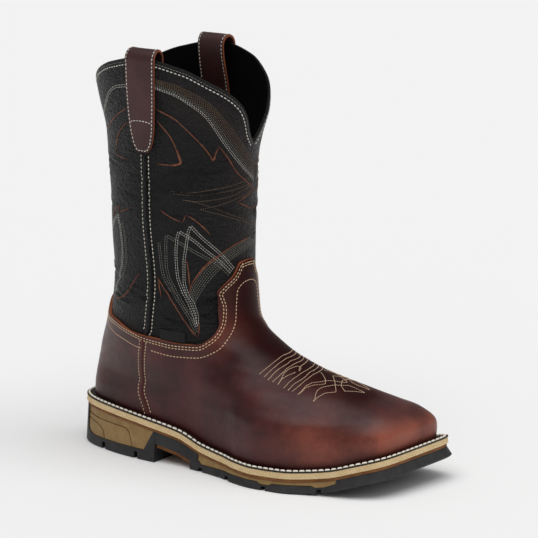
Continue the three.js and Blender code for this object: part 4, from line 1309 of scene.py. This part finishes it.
def figure(knots, distance=0.0, sides=(-1, 1)):
    """A line of the shaft's outer side and its twin on the inner side, as rows."""
    share, z = trace(knots)
    keep = share <= MEETING
    share, z = share[keep], z[keep]
    made = []
    for side in sides:
        there = share if side < 0 else -share + 2 * MEETING * smooth(-0.5, -0.1, share)
        turn = there * math.pi
        level = level_of(turn, np.minimum(z, collar_height(turn) - 5))
        if distance:
            turn, level = shifted(turn, level, distance * side)
        made.append(on_upper(turn, level, 0.0, folds=1.0))
    return made


def between(high, low, count):
    """Lines that fill the band between two lines."""
    high_share, high_z = trace(high)
    low_share, low_z = trace(low)
    return [list(zip(mix(high_share, low_share, k), mix(high_z, low_z, k)))[::4]
            for k in np.linspace(0, 1, count)]


THICK = [
    [(-0.378, 264), (-0.363, 257), (-0.352, 251), (-0.362, 249.2), (-0.39, 248.8)],
    [(-0.235, 257.5), (-0.215, 252.8), (-0.206, 259)],
]
INLAYS = [
    [(-0.455, 293), (-0.385, 286), (-0.345, 279), (-0.29, 269), (-0.25, 261), (-0.215, 252.5)],
    [(-0.215, 252.5), (-0.2, 264.5)],
    [(-0.2, 264.5), (-0.14, 253), (-0.085, 241), (-0.015, 232), (0.08, 221)],
    [(-0.455, 284), (-0.395, 270), (-0.37, 260), (-0.35, 250)],
    [(-0.35, 250), (-0.38, 248), (-0.455, 248.5)],
    [(0.03, 224), (-0.085, 217)],
    [(-0.085, 217), (0.03, 209)],
    [(0.03, 209), (0.075, 211)],
    [(-0.44, 211), (-0.405, 206.5), (-0.345, 202)],
    [(-0.345, 202), (-0.33, 208.5)],
    [(-0.33, 208.5), (-0.29, 204), (-0.255, 198.5), (-0.22, 191.5)],
    [(-0.33, 172), (-0.32, 161.5), (-0.315, 149)],
    [(-0.315, 149), (-0.29, 156), (-0.245, 165.5), (-0.195, 172.5), (-0.165, 176)],
    [(-0.465, 156), (-0.43, 146.5), (-0.385, 133.5), (-0.34, 117.5), (-0.325, 108)],
    [(-0.325, 108), (-0.3, 114), (-0.28, 122)],
    [(-0.46, 155), (-0.45, 144), (-0.445, 139)],
    [(-0.58, 291), (-0.635, 285), (-0.705, 276), (-0.78, 266)],
    [(-0.58, 280.5), (-0.625, 274), (-0.665, 265), (-0.68, 252.5)],
    [(-0.68, 252.5), (-0.665, 250), (-0.6, 248.5)],
    [(-0.785, 196), (-0.73, 204), (-0.69, 208)],
    [(-0.69, 208), (-0.68, 203)],
    [(-0.68, 203), (-0.63, 206.5), (-0.59, 210)],
    [(-0.555, 157), (-0.6, 146.5), (-0.66, 134.5), (-0.77, 127)],
]
FRONT_HIGH = [(0.015, 187), (-0.105, 181.5), (-0.165, 176), (-0.24, 167.5), (-0.28, 159),
              (-0.31, 149.5), (-0.32, 142.5)]
FRONT_LOW = [(0.07, 181.5), (-0.065, 174), (-0.135, 168.5), (-0.19, 161), (-0.245, 150.5),
             (-0.28, 141.5), (-0.3, 134.5)]
COLLAR_HIGH = [(-0.455, 317.2), (-0.38, 314), (-0.32, 308), (-0.255, 299.5), (-0.195, 286.5),
               (-0.115, 271), (-0.005, 253), (0.07, 244)]
COLLAR_LOW = [(-0.455, 309.8), (-0.385, 305), (-0.32, 296.5), (-0.275, 289), (-0.225, 277),
              (-0.165, 263.5), (-0.045, 243.5), (0.07, 229)]
BOLD = [
    [(-0.095, 162.5), (-0.165, 175), (-0.22, 183.5), (-0.27, 191.5), (-0.31, 199.5)],
    [(-0.31, 199.5), (-0.32, 194.5), (-0.33, 182.5), (-0.34, 168.5), (-0.34, 155),
     (-0.325, 143.5), (-0.3, 134.5), (-0.29, 126), (-0.295, 119)],
    [(-0.11, 160), (-0.175, 170), (-0.245, 179.5), (-0.3, 188), (-0.36, 194.5)],
    [(-0.36, 194.5), (-0.37, 188), (-0.375, 174.5), (-0.37, 159), (-0.35, 147.5),
     (-0.325, 137), (-0.305, 126.5), (-0.3, 117)],
    [(-0.565, 309.5), (-0.625, 307), (-0.68, 300), (-0.735, 288.5), (-0.815, 277.5)],
    [(-0.8, 185.5), (-0.735, 195.5), (-0.7, 200.5)],
    [(-0.7, 200.5), (-0.69, 196), (-0.675, 188), (-0.67, 175), (-0.685, 160), (-0.73, 144.5),
     (-0.775, 133.5)],
]
DIM = [
    [(-0.12, 158), (-0.19, 168.5), (-0.245, 173.5), (-0.315, 180.5), (-0.365, 186), (-0.415, 190.5)],
    [(-0.415, 190.5), (-0.42, 181.5), (-0.42, 168), (-0.41, 157), (-0.38, 146.5), (-0.345, 134),
     (-0.31, 122.5), (-0.305, 114.5)],
    [(-0.45, 184.5), (-0.445, 170.5), (-0.435, 158), (-0.4, 147), (-0.36, 135.5), (-0.32, 121.5),
     (-0.315, 112)],
    [(-0.66, 195), (-0.64, 184.5), (-0.64, 171.5), (-0.66, 156.5), (-0.705, 141)],
]
FANS = [
    [(-0.415, 227), (-0.33, 226), (-0.23, 228.5), (-0.12, 231), (-0.015, 234.5), (0.065, 237.5)],
    [(-0.385, 225), (-0.28, 224), (-0.18, 226), (-0.085, 228), (0.04, 231)],
    [(-0.345, 220.5), (-0.285, 219.5), (-0.21, 220.5), (-0.12, 222.5), (-0.045, 226), (0.04, 229.5)],
    [(-0.27, 213), (-0.21, 215), (-0.15, 217.5), (-0.075, 220.5), (0.03, 225)],
    [(-0.345, 220.5), (-0.285, 218.5), (-0.21, 214), (-0.12, 207.5), (-0.015, 201), (0.06, 197)],
    [(-0.27, 213), (-0.18, 208.5), (-0.045, 200.5), (0.055, 194.5)],
]

rows = [row for knots in INLAYS + [FRONT_HIGH] for row in figure(knots)]
ribbons("shaft_inlays", rows, inlay_brown, None, 1.0, 0.3)
rows = [row for knots in THICK for row in figure(knots)]
ribbons("inlay_ends", rows, inlay_brown, None, 2.4, 0.3, 8.0)
collar_band = between(COLLAR_HIGH, COLLAR_LOW, 9)
rows = [row for knots in BOLD for gap in (-0.85, 0.85) for row in figure(knots, gap)]
rows += [row for knots in collar_band[7:] for row in figure(knots)]
stitches("shaft_rows_bold", rows, thread_white, None, 2.1, 1.3, 0.42, 0.25)
rows = [row for knots in DIM for gap in (-0.9, 0.9) for row in figure(knots, gap)]
front_band = between(FRONT_HIGH, FRONT_LOW, 7)
rows += [row for knots in front_band[1:] + collar_band[5:7] for row in figure(knots)]
stitches("shaft_rows_grey", rows, thread_grey, None, 2.0, 1.3, 0.45, 0.25)
rows = [row for knots in FANS + collar_band[:5] for row in figure(knots)]
stitches("shaft_rows_dim", rows, thread_dim, None, 1.9, 1.2, 0.42, 0.25)

# Rows along the collar's edge and beside the piping
around_turn = np.linspace(0, TAU, 721)
around_level = level_of(around_turn, collar_height(around_turn))
rows = [on_upper(*shifted(around_turn, around_level, 3.7), 0.0, folds=1.0)]
stitches("collar_rows", rows, thread_white, None, 3.4, 2.2, 0.85, 0.42)
rows = [on_upper(*shifted(around_turn, around_level, 1.5), 0.0, folds=1.0)]
stitches("collar_rows_fine", rows, thread_grey, None, 2.6, 1.8, 0.45, 0.25)
rows = []
t = np.linspace(0.02, 1, 160)
for side in (-1, 1):
    turn = side * math.pi * pipe_share(t)
    level = level_of(turn, pipe_height(t))
    rows += [on_upper(*shifted(turn, level, gap), 0.0, folds=1.0) for gap in (-3.6, 3.6)]
stitches("piping_rows", rows, thread_pale, None, 3.3, 2.0, 0.8, 0.4)

# Rows on the foot: along the upper edges, beside the seams, over the toe
OVER = GAP + LEATHER
rows = []
t = np.linspace(0, 1, 260)
for side in (-1, 1):
    for share, z in ((edge_share(t), edge_height(t)), (counter_share(t), counter_height(t))):
        turn = side * math.pi * share
        level = level_of(turn, z)
        for gap in (1.5, 3.6):
            moved = shifted(turn, level, side * gap)
            rows.append(on_upper(*moved, OVER, bends=1.0))
    turn = side * math.pi * seam_share(t)
    level = level_of(turn, seam_height(t))
    low = level > level_of(turn, welt_top(last(turn, 0.5)[..., 0]) + 2)
    for gap in (-3.4, 3.4):
        new_turn, new_level = shifted(turn[low], level[low], gap)
        keep = np.abs(seam_height(t)[low] - 105) > 3.5
        rows.append(on_upper(new_turn[keep], new_level[keep], OVER))
THIRD = [(-0.555, 94), (-0.48, 91.5), (-0.415, 92), (-0.32, 97.5), (-0.2, 107), (-0.115, 120),
         (-0.08, 146), (-0.03, 151), (0, 151.6)]
share, z = trace(THIRD)
for side in (-1, 1):
    turn = -side * share * math.pi
    rows.append(on_upper(turn, level_of(turn, z), OVER, bends=1.0))
BACK_THIRD = [(-0.58, 94.3), (-0.615, 95), (-0.665, 98), (-0.75, 101.5), (-0.83, 109), (-0.9, 117.5),
              (-1.0, 121)]
share, z = trace(BACK_THIRD)
for side in (-1, 1):
    turn = -side * share * math.pi
    rows.append(on_upper(turn, level_of(turn, z), OVER))
stitches("foot_rows", rows, thread_cream, None, 3.0, 1.9, 0.75, 0.4)

# The toe's figure is mirrored at this share
TOE_MEETING = 0.05
TOE = [
    [(-0.265, 82.8), (-0.205, 86.4), (-0.105, 91.2), (-0.03, 93.2), (0.05, 93.4)],
    [(-0.265, 81.2), (-0.21, 84.6), (-0.165, 87), (-0.105, 89.6), (-0.03, 91.4), (0.05, 91.6)],
    [(-0.27, 79.4), (-0.215, 83), (-0.155, 86), (-0.095, 88), (-0.03, 89.6), (0.05, 89.6)],
    [(-0.265, 78.4), (-0.22, 81.2), (-0.165, 84), (-0.105, 86.4), (-0.025, 88), (0.05, 88.2)],
    [(-0.265, 76.8), (-0.235, 79), (-0.165, 83.6), (-0.11, 85.6), (-0.06, 86.4), (-0.05, 85.6),
     (-0.065, 84.8), (-0.09, 84)],
    [(-0.09, 84), (-0.055, 85.6), (-0.015, 86.4), (0.05, 86.8)],
    [(-0.26, 77.2), (-0.22, 80), (-0.175, 82), (-0.115, 83.6)],
    [(-0.265, 75), (-0.21, 78.6), (-0.145, 81.4), (-0.07, 83.4), (0.02, 84.4), (0.05, 84.4)],
    [(-0.265, 73.8), (-0.205, 77.6), (-0.13, 80.4), (-0.035, 82.8), (0.05, 83.2)],
    [(-0.26, 73.2), (-0.205, 76.4), (-0.13, 79.6), (-0.04, 81.6), (0.05, 82)],
    [(-0.26, 71.6), (-0.21, 74.8), (-0.17, 76.8), (-0.12, 78), (-0.06, 78), (-0.015, 77.2),
     (0.015, 76), (0.05, 75.2)],
    [(-0.26, 71.6), (-0.22, 74), (-0.19, 75.6), (-0.135, 76.8), (-0.09, 76.8)],
    [(-0.09, 76.8), (-0.03, 79.2), (0.015, 81.4)],
    [(-0.25, 68.2), (-0.205, 72.2), (-0.165, 74.4), (-0.12, 75.6), (-0.07, 75.8), (-0.025, 75),
     (0.015, 74.2), (0.02, 73), (0.015, 70.6)],
    [(-0.25, 68.2), (-0.22, 70.4), (-0.195, 71.6), (-0.165, 72.6), (-0.125, 72.8)],
    [(-0.125, 72.8), (-0.07, 75.2), (-0.01, 77.2), (0.05, 78.8)],
    [(0.015, 70.6), (-0.03, 72), (-0.08, 72.8)],
    [(-0.08, 72.8), (-0.025, 75.2), (0.05, 76.4)],
]
rows = []
for knots in TOE:
    share, z = trace(knots)
    for there in (share, 2 * TOE_MEETING - share):
        turn = there * math.pi
        rows.append(on_upper(turn, level_of(turn, z), OVER, bends=1.0))
stitches("toe_rows", rows, thread_toe, None, 1.9, 1.55, 0.6, 0.32)


# Rows on the straps
def on_strap(c, travel, side):
    place = strap_point(c, travel, side, STRAP_LEATHER / 2)
    above = strap_point(c, travel, side, STRAP_LEATHER / 2 + 0.5)
    return place, unit(above - place)


def inset_share(travel, inset):
    return 1 - inset / (strap_half(np.clip(travel, 0, 1)) * STRAP_WIDTH)


rows = []
tip = 1.6 / (ARCH_START - STRAP_TIP)
across_at = 26.0 / (ARCH_START - STRAP_TIP)
travel = np.concatenate([np.linspace(tip, 1, 60)[:-1], np.linspace(1, 2, 24)[:-1],
                         np.linspace(2, 2.9, 50)])
for side in (-1, 1):
    for edge in (-1, 1):
        rows.append(on_strap(edge * inset_share(travel, 1.7), travel, side))
    reach = float(inset_share(tip, 1.7))
    rows.append(on_strap(np.linspace(-reach, reach, 12), np.full(12, tip), side))
    reach = float(inset_share(across_at, 2.4))
    level_row = np.full(20, across_at) - 0.02 * np.linspace(-1, 1, 20) ** 2
    rows.append(on_strap(np.linspace(-reach, reach, 20), level_row, side))
stitches("strap_rows", rows, thread_pale, None, 3.1, 1.9, 0.75, 0.4)

# Lock stitch of the welt
turn = np.linspace(0, TAU, 1601)
turn = turn + 0.17 * np.sin(2 * turn)
x, y = outline(turn, GROOVE_IN)
place = to_frame(np.stack([x, y, welt_top(x) - 0.1], -1))
stitches("welt_lock_stitch", [(place, np.tile((0.0, 0.0, 1.0), (len(x), 1)))], thread_welt,
         None, 5.2, 4.3, 1.9, 1.25)
